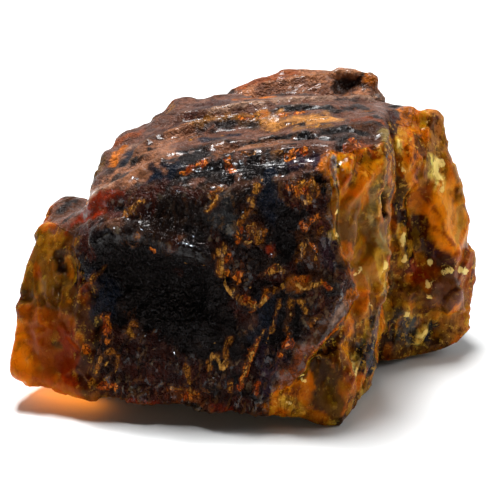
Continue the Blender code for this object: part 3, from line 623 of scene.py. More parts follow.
class Finish:
    """The nodes of a material or a world, written as Python expressions."""

    def __init__(self, owner):
        owner.use_nodes = True
        self.tree = owner.node_tree
        self.tree.nodes.clear()

    def node(self, kind, settings=None, output=0, **sockets):
        """Add a node, set it up, feed its sockets and return one of its outputs."""
        made = self.tree.nodes.new(kind)
        for name, setting in (settings or {}).items():
            setattr(made, name, setting)
        for name, value in sockets.items():
            numbered = name[0] == "i" and name[1:].isdigit()
            key = int(name[1:]) if numbered else name.replace("_", " ")
            if isinstance(value, Socket):
                self.tree.links.new(value.socket, made.inputs[key])
            else:
                made.inputs[key].default_value = value
        return Socket(self, made.outputs[output]) if len(made.outputs) else None

    def noise(self, place, scale, detail=3.0, roughness=0.55, distortion=0.0):
        """Return noise from about 0 to 1."""
        return self.node("ShaderNodeTexNoise", None, 0, Vector=place, Scale=scale,
                         Detail=detail, Roughness=roughness, Distortion=distortion)

    def warped(self, place, scale, reach):
        """Return the place pushed about by noise, by up to the reach."""
        push = self.node("ShaderNodeTexNoise", None, 1, Vector=place, Scale=scale, Detail=2.0)
        return self.node("ShaderNodeVectorMath", {"operation": "MULTIPLY_ADD"}, 0,
                         i0=push, i1=(reach, reach, reach), i2=place)

    def stretched(self, place, scale, lean=0.0):
        """Return the place stretched, then leant to one side by some degrees."""
        return self.node("ShaderNodeMapping", None, 0, Vector=place, Scale=scale,
                         Rotation=(0.0, math.radians(lean), 0.0))

    def cells(self, place):
        """Return three values that change from flake to flake."""
        return self.split(self.voronoi(place, "F1", 1))

    def seams(self, place, width, end=0.0):
        """Return 1 on the seams between flakes, falling to 0 at the width."""
        return self.fade(self.voronoi(place, "DISTANCE_TO_EDGE", 0), width, end)

    def voronoi(self, place, feature, output):
        """Return one output of a pattern of flakes."""
        return self.node("ShaderNodeTexVoronoi", {"feature": feature}, output,
                         Vector=place, Scale=1.0, Randomness=1.0)

    def mix(self, first, second, factor, blend="MIX"):
        """Blend two colours."""
        return self.node("ShaderNodeMix", {"data_type": "RGBA", "blend_type": blend}, 2,
                         i0=factor, i6=first, i7=second)

    def shaded(self, colour, name, share):
        """Darken a colour by a named shade."""
        return self.mix(colour, rgba(SHADES[name]), share, "MULTIPLY")

    def tinted(self, colour, name, share):
        """Cover a colour with a named tint."""
        return self.mix(colour, rgba(TINTS[name]), share)

    def fade(self, value, low, high):
        """Rise smoothly from 0 at low to 1 at high."""
        return self.node("ShaderNodeMapRange", {"interpolation_type": "SMOOTHSTEP"}, 0,
                         Value=value, From_Min=low, From_Max=high)

    def attribute(self, name):
        """Return the colour kept on the mesh under a name."""
        return self.node("ShaderNodeAttribute", {"attribute_name": name})

    def split(self, colour):
        """Return the three channels of a colour."""
        parted = self.node("ShaderNodeSeparateColor", None, 0, Color=colour)
        return [Socket(self, channel) for channel in parted.socket.node.outputs]


class Socket:
    """A shader output that takes part in sums."""

    def __init__(self, finish, socket):
        self.finish = finish
        self.socket = socket

    def math(self, operation, first, second=0.0):
        """Join two values with a Math node."""
        return self.finish.node("ShaderNodeMath", {"operation": operation}, 0,
                                i0=first, i1=second)

    def __add__(self, other):
        return self.math("ADD", self, other)

    def __radd__(self, other):
        return self.math("ADD", other, self)

    def __sub__(self, other):
        return self.math("SUBTRACT", self, other)

    def __rsub__(self, other):
        return self.math("SUBTRACT", other, self)

    def __mul__(self, other):
        return self.math("MULTIPLY", self, other)

    def __rmul__(self, other):
        return self.math("MULTIPLY", other, self)

    def larger(self, other):
        """Return the larger of two values."""
        return self.math("MAXIMUM", self, other)

    def __abs__(self):
        return self.math("ABSOLUTE", self)


def rgba(colour):
    """Return a colour with full alpha."""
    return (colour[0], colour[1], colour[2], 1.0)


def fade(values, low, high):
    """Rise smoothly from 0 at low to 1 at high."""
    share = np.clip((values - low) / (high - low), 0.0, 1.0)
    return share * share * (3.0 - 2.0 * share)


def noise_at(points, size, shift=0.0):
    """Return smooth noise from about -1 to 1, in lumps of the given size in mm."""
    scaled = points / (np.array(size) * MM) + shift
    return np.array([noise.noise(Vector(point)) for point in scaled])


def chips_at(points, size, shift=0.0):
    """Return the height of flat chips, each tilted its own way, in lumps of a size in mm."""
    scaled = points / (size * MM) + shift
    heights = np.zeros(len(points))
    for index, point in enumerate(scaled):
        centre = noise.voronoi(Vector(point))[1][0]
        tilt = noise.cell_vector(centre * 7.3 + Vector((3.1, 1.7, 5.9)))
        heights[index] = (Vector(point) - centre).dot(tilt * 2.0 - Vector((1.0, 1.0, 1.0)))
    return heights


def pixel_of(points):
    """Return where each point stands in the frame."""
    away = points - np.array(CAMERA_PLACE)
    depth = away @ np.array(CAMERA_LOOK)
    across = away[:, 0] / depth * PIXELS_PER_SLOPE
    upward = away @ np.array(CAMERA_UP) / depth * PIXELS_PER_SLOPE
    return np.stack((FRAME_PIXELS / 2 + across, FRAME_PIXELS / 2 - upward), axis=1)


def point_under(surface, pixel):
    """Return the point of the surface seen at a pixel, or None."""
    across = (pixel[0] - FRAME_PIXELS / 2) / PIXELS_PER_SLOPE
    upward = (FRAME_PIXELS / 2 - pixel[1]) / PIXELS_PER_SLOPE
    look = CAMERA_LOOK + Vector((across, 0.0, 0.0)) + CAMERA_UP * upward
    return surface.ray_cast(CAMERA_PLACE, look.normalized())[0]


def lay_stroke(surface, pixels):
    """Return the points of the surface under a line of pixels, a few pixels apart."""
    laid = []
    for start, end in zip(pixels, pixels[1:]):
        steps = max(1, round(math.dist(start, end) / STROKE_STEP))
        for step in range(steps + 1):
            share = step / steps
            pixel = [start[axis] + (end[axis] - start[axis]) * share for axis in (0, 1)]
            hit = point_under(surface, pixel)
            if hit is not None:
                laid.append(hit)
    return np.array(laid)


def gap_to(spots, start, end):
    """Return how far each spot is from a straight run."""
    run = end - start
    along = np.clip((spots - start) @ run / max(run @ run, TINY), 0.0, 1.0)
    return np.linalg.norm(spots - start - along[:, None] * run, axis=1)


def stroke_gap(skin, pixels, reach):
    """Return which points lie within reach of a stroke and how far away each of them is."""
    laid = lay_stroke(skin.surface, pixels)
    if len(laid) == 0:
        return np.zeros(0, int), np.zeros(0)
    low = laid.min(axis=0) - reach
    high = laid.max(axis=0) + reach
    near = np.flatnonzero(((skin.points > low) & (skin.points < high)).all(axis=1))
    spots = skin.points[near]
    gaps = np.full(len(near), FAR)
    for start, end in zip(laid, laid[1:]):
        if math.dist(start, end) <= STROKE_JUMP:
            gaps = np.minimum(gaps, gap_to(spots, start, end))
    if len(laid) == 1:
        gaps = np.linalg.norm(spots - laid[0], axis=1)
    return near, gaps


def edge_depth(pixels, outline):
    """Return how far inside the outline each pixel is; below zero is outside."""
    ring = np.array(outline, float)
    inside = np.zeros(len(pixels), bool)
    nearest = np.full(len(pixels), FAR)
    for start, end in zip(ring, np.roll(ring, -1, axis=0)):
        nearest = np.minimum(nearest, gap_to(pixels, start, end))
        run = end - start
        crosses = (start[1] > pixels[:, 1]) != (end[1] > pixels[:, 1])
        slope = run[0] / run[1] if run[1] else 0.0
        inside ^= crosses & (pixels[:, 0] < start[0] + (pixels[:, 1] - start[1]) * slope)
    return np.where(inside, nearest, -nearest)


def read_points(mesh):
    """Return the places of a mesh's points."""
    places = np.empty(len(mesh.vertices) * 3)
    mesh.vertices.foreach_get("co", places)
    return places.reshape(-1, 3)


def read_normals(mesh):
    """Return the normals of a mesh's points."""
    normals = np.empty(len(mesh.vertices) * 3)
    mesh.vertex_normals.foreach_get("vector", normals)
    return normals.reshape(-1, 3)


def read_links(mesh):
    """Return the two ends of each edge."""
    ends = np.empty(len(mesh.edges) * 2, int)
    mesh.edges.foreach_get("vertices", ends)
    return ends.reshape(-1, 2)


def spread(values, links, passes):
    """Average each point's value with those around it, a number of times over."""
    count = len(values)
    neighbours = np.bincount(links.ravel(), minlength=count)
    for _ in range(passes):
        total = np.bincount(links[:, 0], values[links[:, 1]], count)
        total += np.bincount(links[:, 1], values[links[:, 0]], count)
        values = (values + total / neighbours) / 2.0
    return values


def even_skin(name, voxel, passes):
    """Copy the solid, lay its skin again in small even faces and smooth its facets away."""
    shape = bmesh.new()
    shape.from_mesh(bpy.data.objects[SOLID].data)
    bmesh.ops.remove_doubles(shape, verts=shape.verts, dist=0.001 * MM)
    mesh = bpy.data.meshes.new(name)
    shape.to_mesh(mesh)
    shape.free()
    lump = bpy.data.objects.new(name, mesh)
    bpy.context.scene.collection.objects.link(lump)
    skin = lump.modifiers.new("even_skin", "REMESH")
    skin.mode = "VOXEL"
    skin.voxel_size = voxel
    soften = lump.modifiers.new("soften", "SMOOTH")
    soften.factor = 0.5
    soften.iterations = passes
    bpy.context.view_layer.update()
    seen = lump.evaluated_get(bpy.context.evaluated_depsgraph_get())
    lump.data = bpy.data.meshes.new_from_object(seen)
    lump.modifiers.clear()
    return lump


class Skin:
    """The points of the lump's skin and what the relief and the paint are worked out from."""

    def __init__(self, mesh):
        self.mesh = mesh
        self.points = read_points(mesh)
        self.normals = read_normals(mesh)
        self.links = read_links(mesh)
        self.surface = BVHTree.FromPolygons([tuple(point) for point in self.points],
                                            [tuple(face.vertices) for face in mesh.polygons])
        self.seen = seen_share(self)
        self.top = spread(fade(self.normals[:, 2], 0.35, 0.75), self.links, 4)
        self.crust = crust_share(self)
        self.wander = self.noise(1.7, 50.0) + self.noise(0.8, 60.0) * 0.6
        self.gloss = marks_share(self, GLOSS, self.wander)

    def noise(self, size, shift=0.0):
        """Return smooth noise over the skin, in lumps of the given size in mm."""
        return noise_at(self.points, size, shift)

    def patches(self, size, shift, low, high):
        """Return patches of about a size in mm, rising from 0 to 1 between two levels."""
        return fade(self.noise(size, shift), low, high)

    def store(self, name, red, green, blue):
        """Keep three values a point on the mesh."""
        layer = self.mesh.attributes.new(name, "FLOAT_COLOR", "POINT")
        packed = np.stack((red, green, blue, np.ones(len(red))), axis=1)
        layer.data.foreach_set("color", packed.ravel())


def seen_share(skin):
    """Return 1 on points that the camera sees and 0 on hidden ones."""
    facing = fade(-(skin.normals @ np.array(CAMERA_LOOK)), 0.0, 0.2)
    seen = np.zeros(len(skin.points))
    for index in np.flatnonzero(facing > 0.0):
        point = Vector(skin.points[index])
        away = CAMERA_PLACE - point
        start = point + Vector(skin.normals[index]) * 0.5 * MM
        blocked = skin.surface.ray_cast(start, away.normalized())[0]
        seen[index] = 0.0 if blocked is not None else 1.0
    return spread(seen * facing, skin.links, 5)


def crust_share(skin):
    """Return 1 where the dark crust lies and 0 on clear faces."""
    pixels = pixel_of(skin.points)
    # The crust's edge strays and fades the most at the left end.
    left = fade(-pixels[:, 0], -125.0, -80.0) * fade(pixels[:, 1], 225.0, 250.0)
    strayed = edge_depth(pixels, CRUST_EDGE) + skin.noise(3.5, 15.0) * (3.0 + 22.0 * left)
    drawn = fade(strayed / (2.5 + 10.0 * left), -1.0, 1.0)
    # On hidden sides it lies on the top, round the rim, along the foot and in patches.
    height = skin.points[:, 2] / MM
    wander = skin.noise(9.0, 21.0) * 0.35 + skin.noise(3.0, 5.0) * 0.15
    top = fade(skin.normals[:, 2] + wander, 0.45, 0.80)
    rim = fade(height + wander * 14.0, 33.0, 39.0)
    foot = fade(wander * 12.0 - height, -9.0, -4.0) * 0.8
    guessed = np.maximum(np.maximum(top, rim), foot)
    guessed = np.maximum(guessed, skin.patches(14.0, 3.0, 0.15, 0.35) * 0.9)
    return guessed + (drawn - guessed) * skin.seen


def fine_relief(skin):
    """Return the height in mm of fibres, crumbs, chips and ripples along the normal."""
    crust = skin.crust
    front = fade(-skin.normals[:, 1], 0.3, 0.75)
    lean = math.radians(FIBRE_LEAN)
    across, back, up = skin.points.T
    side = across * math.cos(lean) - up * math.sin(lean)
    along = across * math.sin(lean) + up * math.cos(lean)
    combed = np.stack((side, back, along), axis=1)
    fibres = (0.28 - np.abs(noise_at(combed, (1.5, 3.0, 7.0)))) * 0.9
    fibres += (0.28 - np.abs(noise_at(combed, (1.0, 2.0, 4.0), 6.0))) * 0.5
    fibres *= skin.patches(9.0, 5.0, -0.4, 0.2)
    crumbs = (0.25 - np.abs(skin.noise(2.4, 9.0))) * 0.9
    crumbs += (0.25 - np.abs(skin.noise(1.2, 13.0))) * 0.5
    big_chips = chips_at(skin.points, 8.0, 2.0) * 0.9
    chips = chips_at(skin.points, 4.0, 5.0) * 0.55
    small_chips = chips_at(skin.points, 2.2, 8.0) * 0.30
    ripples = np.sin(skin.noise(6.0, 4.0) * 16.0) * 0.05
    clear = (big_chips * 0.7 + chips * 0.5 + ripples) * (1.0 - crust)
    rough = (chips * 0.7 + small_chips * 0.5 + crumbs * 0.5) * crust * (1.0 - skin.top)
    broken = big_chips * crust * (1.0 - 0.7 * skin.top) * 0.6
    return (fibres * front * crust + clear + rough + broken) * (1.0 - 0.85 * skin.gloss)


def drawn_relief(skin):
    """Return the height in mm of the ridges and hollows drawn one by one."""
    height = np.zeros(len(skin.points))
    for rise, half_width, *pixels in RELIEF:
        near, gaps = stroke_gap(skin, pixels, half_width * 2.2 * MM)
        height[near] += rise * np.exp(-(gaps / (half_width * MM)) ** 2)
    return height


def ledges(skin):
    """Return how far in mm the thin beds of the top stand out along the bedding."""
    level = skin.points @ BEDDING / MM
    level += skin.noise((20.0, 6.0, 10.0)) * 0.9 + skin.noise(2.2, 7.0) * 0.25
    total = np.zeros(len(skin.points))
    for thickness, shift in ((2.4, 0.3), (1.1, 0.0)):
        beds = level / thickness + shift
        riser = fade(beds - np.floor(beds), 0.55, 1.0)
        total += (np.floor(beds) + riser - beds + 0.4) * thickness * 0.4
    strength = 0.35 + 0.65 * skin.patches(8.0, 23.0, -0.2, 0.3)
    return total * skin.top * strength * (0.4 + 0.6 * skin.crust)


def raise_relief(skin, scale):
    """Move the skin's points out by the relief and return where they are now."""
    rise = (fine_relief(skin) + drawn_relief(skin)) * scale
    steps = ledges(skin) * scale
    # The foot stays level.
    foot = fade(skin.points[:, 2] / MM, 0.3, 1.5)
    shaped = skin.points + skin.normals * (rise * foot * MM)[:, None]
    shaped += BEDDING * (steps * foot * MM)[:, None]
    shaped = np.clip(shaped, np.array(CAD_BOX[0]), np.array(CAD_BOX[1]))
    skin.mesh.vertices.foreach_set("co", shaped.ravel())
    skin.mesh.update()
    skin.mesh.shade_smooth()
    return shaped


def ridge_share(skin, shaped):
    """Return 1 on sharp ridges, one half on level skin and 0 in creases."""
    smoothed = [spread(shaped[:, axis].copy(), skin.links, 3) for axis in range(3)]
    ridge = ((shaped - np.stack(smoothed, axis=1)) * read_normals(skin.mesh)).sum(axis=1) / MM
    return np.clip(ridge / SHARP_RIDGE * 0.5 + 0.5, 0.0, 1.0)


def lay(under, name, share):
    """Cover each point's colour with a named colour by its own share."""
    return under + (np.array(COLOURS[name]) - under) * share[:, None]


def paint_tones(skin):
    """Return the broad colour of each point."""
    patch = skin.noise(7.0, 31.0) + skin.noise(3.0, 17.0) * 0.5
    other = skin.noise(9.0, 41.0) + skin.noise(2.5, 27.0) * 0.5
    dark = lay(np.array(COLOURS["soot"]), "wine", fade(patch, -0.2, 0.5))
    dark = lay(dark, "night", fade(other, 0.0, 0.4))
    dark = lay(dark, "mauve", skin.top * fade(patch, -0.6, 0.1))
    clear = lay(np.array(COLOURS["ochre"]), "orange", fade(patch, -0.1, 0.3))
    clear = lay(clear, "rust", fade(other, 0.15, 0.4))
    clear = lay(clear, "umber", fade(-other, 0.2, 0.5))
    tone = clear + (dark - clear) * skin.crust[:, None]
    stray = skin.wander * 0.45 + skin.noise(3.2, 37.0) * 0.9 + skin.wander * skin.top * 0.45
    for name, half_width, strength, *pixels in TONES:
        near, gaps = stroke_gap(skin, pixels, half_width * 2.2 * MM)
        share = gaps / (half_width * MM) + stray[near]
        tone[near] = lay(tone[near], name, (1.0 - fade(share, 0.75, 1.25)) * strength)
    return tone


def marks_share(skin, strokes, wander):
    """Return how strongly each point is marked by a set of strokes."""
    marks = np.zeros(len(skin.points))
    broken = skin.patches(1.9, 77.0, -0.30, 0.10)
    for half_width, *pixels in strokes:
        near, gaps = stroke_gap(skin, pixels, half_width * 2.8 * MM)
        share = 1.0 - fade(gaps / (half_width * MM) + wander[near] * 0.7, 0.0, 2.0)
        share *= 0.45 + 0.55 * broken[near]
        marks[near] = np.maximum(marks[near], share)
    return marks


def lines_share(skin):
    """Return 1 on the middle of each thin line, falling evenly to 0 at three half widths."""
    lines = np.zeros(len(skin.points))
    for half_width, strength, *pixels in LINES:
        reach = half_width * 3.0 * MM
        near, gaps = stroke_gap(skin, pixels, reach)
        lines[near] = np.maximum(lines[near], strength * (1.0 - np.minimum(gaps / reach, 1.0)))
    return lines


def paint_skin(skin, shaped):
    """Keep the tones, the marks and the other shares on the mesh, for the finish to read."""
    unseen = 1.0 - fade(skin.seen, 0.0, 0.3)
    drawn = {"gold": [], "fire": []}
    for kind, *stroke in MARKS:
        drawn[kind].append(stroke)
    gold = marks_share(skin, drawn["gold"], skin.wander)
    gold = np.maximum(gold, unseen * skin.crust * skin.patches(3.2, 71.0, 0.2, 0.6))
    fire = marks_share(skin, drawn["fire"], skin.wander)
    fire = np.maximum(fire, unseen * skin.crust * skin.patches(3.6, 81.0, 0.25, 0.65))
    # Chalky spots, and thin pale lines that are painted highlights.
    chalk_and_highlights = marks_share(skin, CHALK_AND_PAINTED_HIGHLIGHTS, skin.wander)
    hidden_chalk = unseen * (1.0 - skin.crust) * skin.patches(2.6, 91.0, 0.48, 0.66) * 0.8
    calm = marks_share(skin, CALM, skin.wander * 0.3)
    calm = np.maximum(calm, unseen * skin.patches(12.0, 55.0, -0.35, 0.25) * 0.65)
    sheen = skin.top * skin.crust * (0.25 + 0.75 * skin.patches(5.0, 33.0, -0.3, 0.3))
    skin.store("tone", *paint_tones(skin).T)
    skin.store("marks", gold, fire, np.maximum(chalk_and_highlights, hidden_chalk))
    skin.store("build", skin.crust, ridge_share(skin, shaped), skin.top)
    skin.store("inner", lines_share(skin), np.maximum(skin.gloss, sheen * 0.36), calm)


class AmberShape(bpy.types.PropertyGroup):
    """Sizes of the lump's fine skin."""
    skin_voxel: FloatProperty(
        name="Skin voxel", description="Size of the small faces of the skin",
        default=0.00044, min=0.0003, unit="LENGTH")
    skin_passes: IntProperty(
        name="Skin passes", description="How often the skin is smoothed",
        default=6, min=0)
    relief_scale: FloatProperty(
        name="Relief", description="Strength of the small relief",
        default=1.0, min=0.0, subtype="FACTOR")


class AmberLook(bpy.types.PropertyGroup):
    """Colours and optics of the amber."""
    gold: FloatVectorProperty(
        name="Gold", description="Colour of the bright flecks in the crust",
        default=(0.44, 0.185, 0.022), size=3, subtype="COLOR")
    fire: FloatVectorProperty(
        name="Fire", description="Colour of the orange spots",
        default=(0.68, 0.18, 0.012), size=3, subtype="COLOR")
    # The chalk colour also paints the thin highlights drawn among the spots.
    chalk_and_highlights: FloatVectorProperty(
        name="Chalk", description="Colour of the chalky spots",
        default=(0.95, 0.70, 0.20), size=3, subtype="COLOR")
    line: FloatVectorProperty(
        name="Lines", description="Colour of the thin lines in the crust",
        default=(0.66, 0.33, 0.06), size=3, subtype="COLOR")
    depth_colour: FloatVectorProperty(
        name="Depth colour", description="Colour that the clear amber takes in its depth",
        default=(0.991, 0.905, 0.02), size=3, subtype="COLOR")
    depth_density: FloatProperty(
        name="Depth density", description="How fast the clear amber takes its colour",
        default=850.0, min=0.0)
    clearness: FloatProperty(
        name="Clearness", description="Share of light that passes straight through",
        default=0.22, min=0.0, max=1.0, subtype="FACTOR")
    bend: FloatProperty(
        name="Index of refraction", description="How strongly amber bends light",
        default=1.54, min=1.0)


class AmberStudio(bpy.types.PropertyGroup):
    """Floor, surroundings and the powers of the lights."""
    floor_size: FloatProperty(
        name="Floor", description="Side of the floor",
        default=6.0, min=1.0, unit="LENGTH")
    back_sky: FloatProperty(
        name="Back", description="Brightness behind the lump",
        default=0.62, min=0.0)
    front_sky: FloatProperty(
        name="Front", description="Brightness in front of the lump",
        default=0.015, min=0.0)
    above: FloatProperty(
        name="Above", description="Power of the large light above",
        default=15.5, min=0.0, unit="POWER")
    right: FloatProperty(
        name="Right", description="Power of the light on the right",
        default=2.0, min=0.0, unit="POWER")
    key: FloatProperty(
        name="Key", description="Power of the small light high on the left",
        default=1.7, min=0.0, unit="POWER")
    face: FloatProperty(
        name="Face", description="Power of the light low in front, close to the floor",
        default=0.44, min=0.0, unit="POWER")
    glint: FloatProperty(
        name="Glint", description="Power of the tiny light that only makes highlights",
        default=1.2, min=0.0, unit="POWER")
    spill: FloatProperty(
        name="Spill", description="Power of the amber light under the raised left end",
        default=0.0004, min=0.0, unit="POWER")


def amber_values(finish):
    """Return the values painted on the lump and the patterns that run through it."""
    amber = SimpleNamespace()
    amber.tone = finish.attribute("tone")
    crust_paint, amber.ridge, amber.top = finish.split(finish.attribute("build"))
    amber.gold, amber.fire, amber.chalk_and_highlights = finish.split(finish.attribute("marks"))
    amber.lines, amber.gloss, calm = finish.split(finish.attribute("inner"))
    amber.lit = finish.fade(finish.split(amber.tone)[0], 0.003, 0.030)

    place = finish.node("ShaderNodeTexCoord", None, 3)
    amber.place = finish.stretched(place, (1.0 / MM, 1.0 / MM, 1.0 / MM))
    amber.grit = finish.noise(amber.place, 2.6, 2.0, 0.6)
    amber.fine = finish.noise(amber.place, 0.9, 5.0, 0.6)
    amber.broad = finish.noise(amber.place, 0.25, 3.0)
    streaked = finish.stretched(amber.place, (0.50, 0.40, 0.20), STREAK_LEAN)
    amber.flow = finish.noise(streaked, 1.0, 4.0, 0.6, 0.8)
    amber.bent = finish.warped(amber.place, 0.5, 2.4)
    combed = finish.stretched(amber.bent, (1.7, 1.3, 0.6), FIBRE_LEAN)
    strands = finish.noise(combed, 1.0, 2.5, 0.6, 0.6)
    bedded = finish.stretched(amber.bent, (0.32, 0.5, 1.5), BED_LEAN)
    beds = finish.noise(bedded, 1.0, 2.0, 0.55, 0.5)
    amber.grain = strands + (beds - strands) * amber.top
    amber.pick, amber.tint, amber.shade = finish.cells(combed)
    amber.seam = finish.seams(combed, 0.10, 0.02)

    amber.crust = finish.fade(crust_paint + (amber.fine - 0.5) * 0.35, 0.42, 0.58)
    amber.clear = 1.0 - amber.crust
    amber.busy = amber.clear * (1.0 - calm * 1.4).larger(0.0)
    return amber


def furrowed(finish, amber, colour):
    """Darken furrows between fibres and beds, and paint shade in the grain's low parts, which the
    bump sinks.
    """
    furrow = finish.fade(abs(amber.grain - 0.5), 0.05, 0.0) * (1.0 - 0.35 * amber.top)
    # Painted shade: darker where the grain, and with it the bump, is low.
    painted_hollow_shade = finish.fade(amber.grain, 0.52, 0.44) * (0.4 + 0.35 * amber.top)
    flakes = finish.fade(amber.pick, 0.6, 0.3) * 0.8 * (1.0 - amber.top)
    darker = furrow.larger(painted_hollow_shade).larger(flakes) * (1.0 - 0.6 * amber.gloss)
    return finish.shaded(colour, "furrow", darker * amber.crust * (0.9 - 0.18 * amber.top))


def clouded(finish, amber, colour):
    """Lay clouds, a glow and warped panes in the clear amber."""
    flow, busy = amber.flow, amber.busy
    colour = finish.shaded(colour, "cloud", finish.fade(flow, 0.50, 0.38) * busy * 0.85)
    colour = finish.tinted(colour, "glow", finish.fade(flow, 0.55, 0.66) * busy * 0.35)
    panes = finish.stretched(amber.bent, (0.62, 0.55, 0.28), PANE_LEAN)
    panes = finish.warped(panes, 1.6, 0.5)
    pick, tint, _ = finish.cells(panes)
    dim = finish.fade(pick, 0.55, 0.10) * (0.35 + 0.65 * finish.fade(flow, 0.40, 0.60))
    colour = finish.shaded(colour, "dim pane", dim * busy * 0.8)
    colour = finish.tinted(colour, "bright pane", finish.fade(tint, 0.80, 0.95) * busy * 0.35)
    return finish.shaded(colour, "pane seam", finish.seams(panes, 0.07) * amber.clear * 0.25)


def sprinkled(finish, amber, colour):
    """Strew dark specks and bright scales in the clear amber; return also where they are."""
    strewn = amber.fine + (amber.grit - 0.5) * 0.5
    specks = finish.fade(strewn, 0.44, 0.36) * amber.busy
    scales = finish.fade(strewn, 0.57, 0.66) * amber.busy
    colour = finish.shaded(colour, "speck", specks * 0.7)
    return finish.tinted(colour, "scale", scales * 0.45), scales + specks


def ridges_flecks_and_web(finish, amber, colour):
    """Lighten ridges (worn crumbs and painted rim glow); lay flecks and thread webs over crust and
    clear amber.
    """
    rough = amber.fine - 0.5
    # Sharp ridges lightened: partly worn crumbs, partly painted glow of thin rims.
    edges = finish.fade(amber.ridge + rough * 0.5, 0.60, 0.85) * (0.20 - 0.05 * amber.crust)
    colour = finish.tinted(colour, "edge", edges * amber.lit)
    fleck = finish.fade(amber.pick + rough * 0.8, 0.72, 0.84) * amber.crust * amber.lit
    fleck = fleck * (1.0 - 0.7 * amber.top) * finish.fade(amber.broad, 0.44, 0.58)
    flecks = finish.mix(rgba(TINTS["brown fleck"]), rgba(TINTS["grey fleck"]), amber.tint)
    colour = finish.mix(colour, flecks, fleck * 0.65)
    threads = finish.noise(amber.place, 0.55, 3.0, 0.6, 2.0)
    web = finish.fade(abs(threads - 0.5), 0.014, 0.0) * finish.fade(amber.fine, 0.45, 0.60)
    # On the crust the web is partly painted sheen.
    colour = finish.tinted(colour, "crust web and sheen", web * amber.crust * 0.5)
    return finish.tinted(colour, "clear web", web * amber.clear * 0.15)


def marked(finish, amber, colour, look):
    """Lay the gold and orange marks and the thin lines, all broken up by flakes and grit."""
    rough, broken = amber.fine - 0.5, amber.pick - 0.5
    uneven = broken * 0.55 + rough * 0.9
    halo = finish.fade(amber.gold.larger(amber.fire) + uneven * 0.6, 0.20, 0.60)
    colour = finish.tinted(colour, "halo", halo * 0.50)
    varied = finish.fade(amber.tint, 0.2, 0.8)
    golden = finish.mix(rgba(TINTS["dark gold"]), rgba(look.gold), varied)
    blazing = finish.mix(rgba(TINTS["dark fire"]), rgba(look.fire), varied)
    burning = finish.fade(amber.fire + uneven, 0.58, 0.72)
    bright = finish.fade(amber.gold + uneven, 0.62, 0.76)
    colour = finish.mix(finish.mix(colour, blazing, burning), golden, bright)
    drawn = finish.fade(amber.lines + rough * 0.8 + broken * 0.30, 0.66, 0.80)
    paler = finish.fade(amber.fine * 0.5 + amber.shade * 0.5, 0.40, 0.62)
    colour = finish.mix(colour, finish.mix(golden, rgba(look.line), paler), drawn * 0.9)
    spots = burning.larger(bright)
    colour = finish.shaded(colour, "mark seam", amber.seam * spots * 0.85)
    gritty = finish.fade(amber.grit, 0.50, 0.40) * spots.larger(drawn * 0.5)
    return finish.shaded(colour, "mark grit", gritty * 0.8)


def small_bumps(finish, amber):
    """Return the normal with grit, grain and small facets."""
    facets = finish.noise(amber.place, 1.5, 1.5, 0.5, 0.5)
    height = amber.grit * 0.15 + amber.grain * 0.5 + facets * 0.8 - amber.seam * 0.08
    height = height * (0.10 + 0.90 * amber.crust) * (1.0 - 0.7 * amber.gloss)
    return finish.node("ShaderNodeBump", None, 0, Strength=1.0, Distance=BUMP_HEIGHT,
                       Height=height)


def roughness(finish, amber):
    """Return how dull the surface is: polished in dark hollows, dullest on the top."""
    dull = finish.fade(amber.fine * 0.5 + amber.broad * 0.5, 0.44, 0.60)
    crust = (0.09 + 0.22 * dull) * (0.4 + 0.6 * amber.lit.larger(amber.top)) + 0.10 * amber.top
    clear = 0.05 + 0.08 * dull
    return clear + (crust - clear) * amber.crust


def wet_coat(finish, amber):
    """Return where the surface looks wet: on glossy places and on some flakes of the sides."""
    glossy = amber.gloss * finish.fade(amber.fine, 0.40, 0.58)
    glossy = glossy * (1.0 - amber.top * (1.0 - amber.lit) * 0.6)
    facets = finish.fade(amber.tint + (amber.fine - 0.5) * 0.6, 0.80, 0.92) * amber.crust
    return glossy.larger(facets * amber.lit * (1.0 - amber.top) * 0.6)


def amber_finish(look):
    """Make the material of the whole lump: opaque crust and clear resin."""
    material = bpy.data.materials.new(FINISH)
    finish = Finish(material)
    amber = amber_values(finish)
    colour = furrowed(finish, amber, amber.tone)
    colour = clouded(finish, amber, colour)
    colour, strewn = sprinkled(finish, amber, colour)
    colour = marked(finish, amber, ridges_flecks_and_web(finish, amber, colour), look)
    # Chalky spots and painted highlights, broken up by noise and flakes.
    chalky_and_highlight = amber.chalk_and_highlights + (amber.fine - 0.5) * 1.4 + (amber.pick - 0.5) * 0.4
    chalky_and_highlight = finish.fade(chalky_and_highlight, 0.50, 0.75)
    colour = finish.mix(colour, rgba(look.chalk_and_highlights), chalky_and_highlight * 0.75)
    shared = {
        "Base_Color": colour,
        "Roughness": roughness(finish, amber),
        "Normal": small_bumps(finish, amber),
        "IOR": look.bend,
        "Coat_Weight": wet_coat(finish, amber),
        "Coat_Roughness": COAT_ROUGHNESS,
    }
    stone = finish.node("ShaderNodeBsdfPrincipled", None, 0,
                        Specular_IOR_Level=STONE_SHINE, Specular_Tint=rgba(STONE_TINT), **shared)
    resin = finish.node("ShaderNodeBsdfPrincipled", {"subsurface_method": "RANDOM_WALK"}, 0,
                        Specular_IOR_Level=RESIN_SHINE, Specular_Tint=rgba(RESIN_TINT),
                        Transmission_Weight=look.clearness, Subsurface_Weight=1.0,
                        Subsurface_Radius=RESIN_SPREAD, Subsurface_Scale=STRAY_DEPTH, **shared)
    opaque = finish.fade(amber.crust + chalky_and_highlight * 0.8 + strewn * 0.45, 0.0, 1.0)
    surface = finish.node("ShaderNodeMixShader", None, 0, i0=opaque, i1=resin, i2=stone)
    depth = finish.node("ShaderNodeVolumeAbsorption", None, 0,
                        Color=rgba(look.depth_colour), Density=look.depth_density)
    finish.node("ShaderNodeOutputMaterial", None, 0, Surface=surface, Volume=depth)
    return material


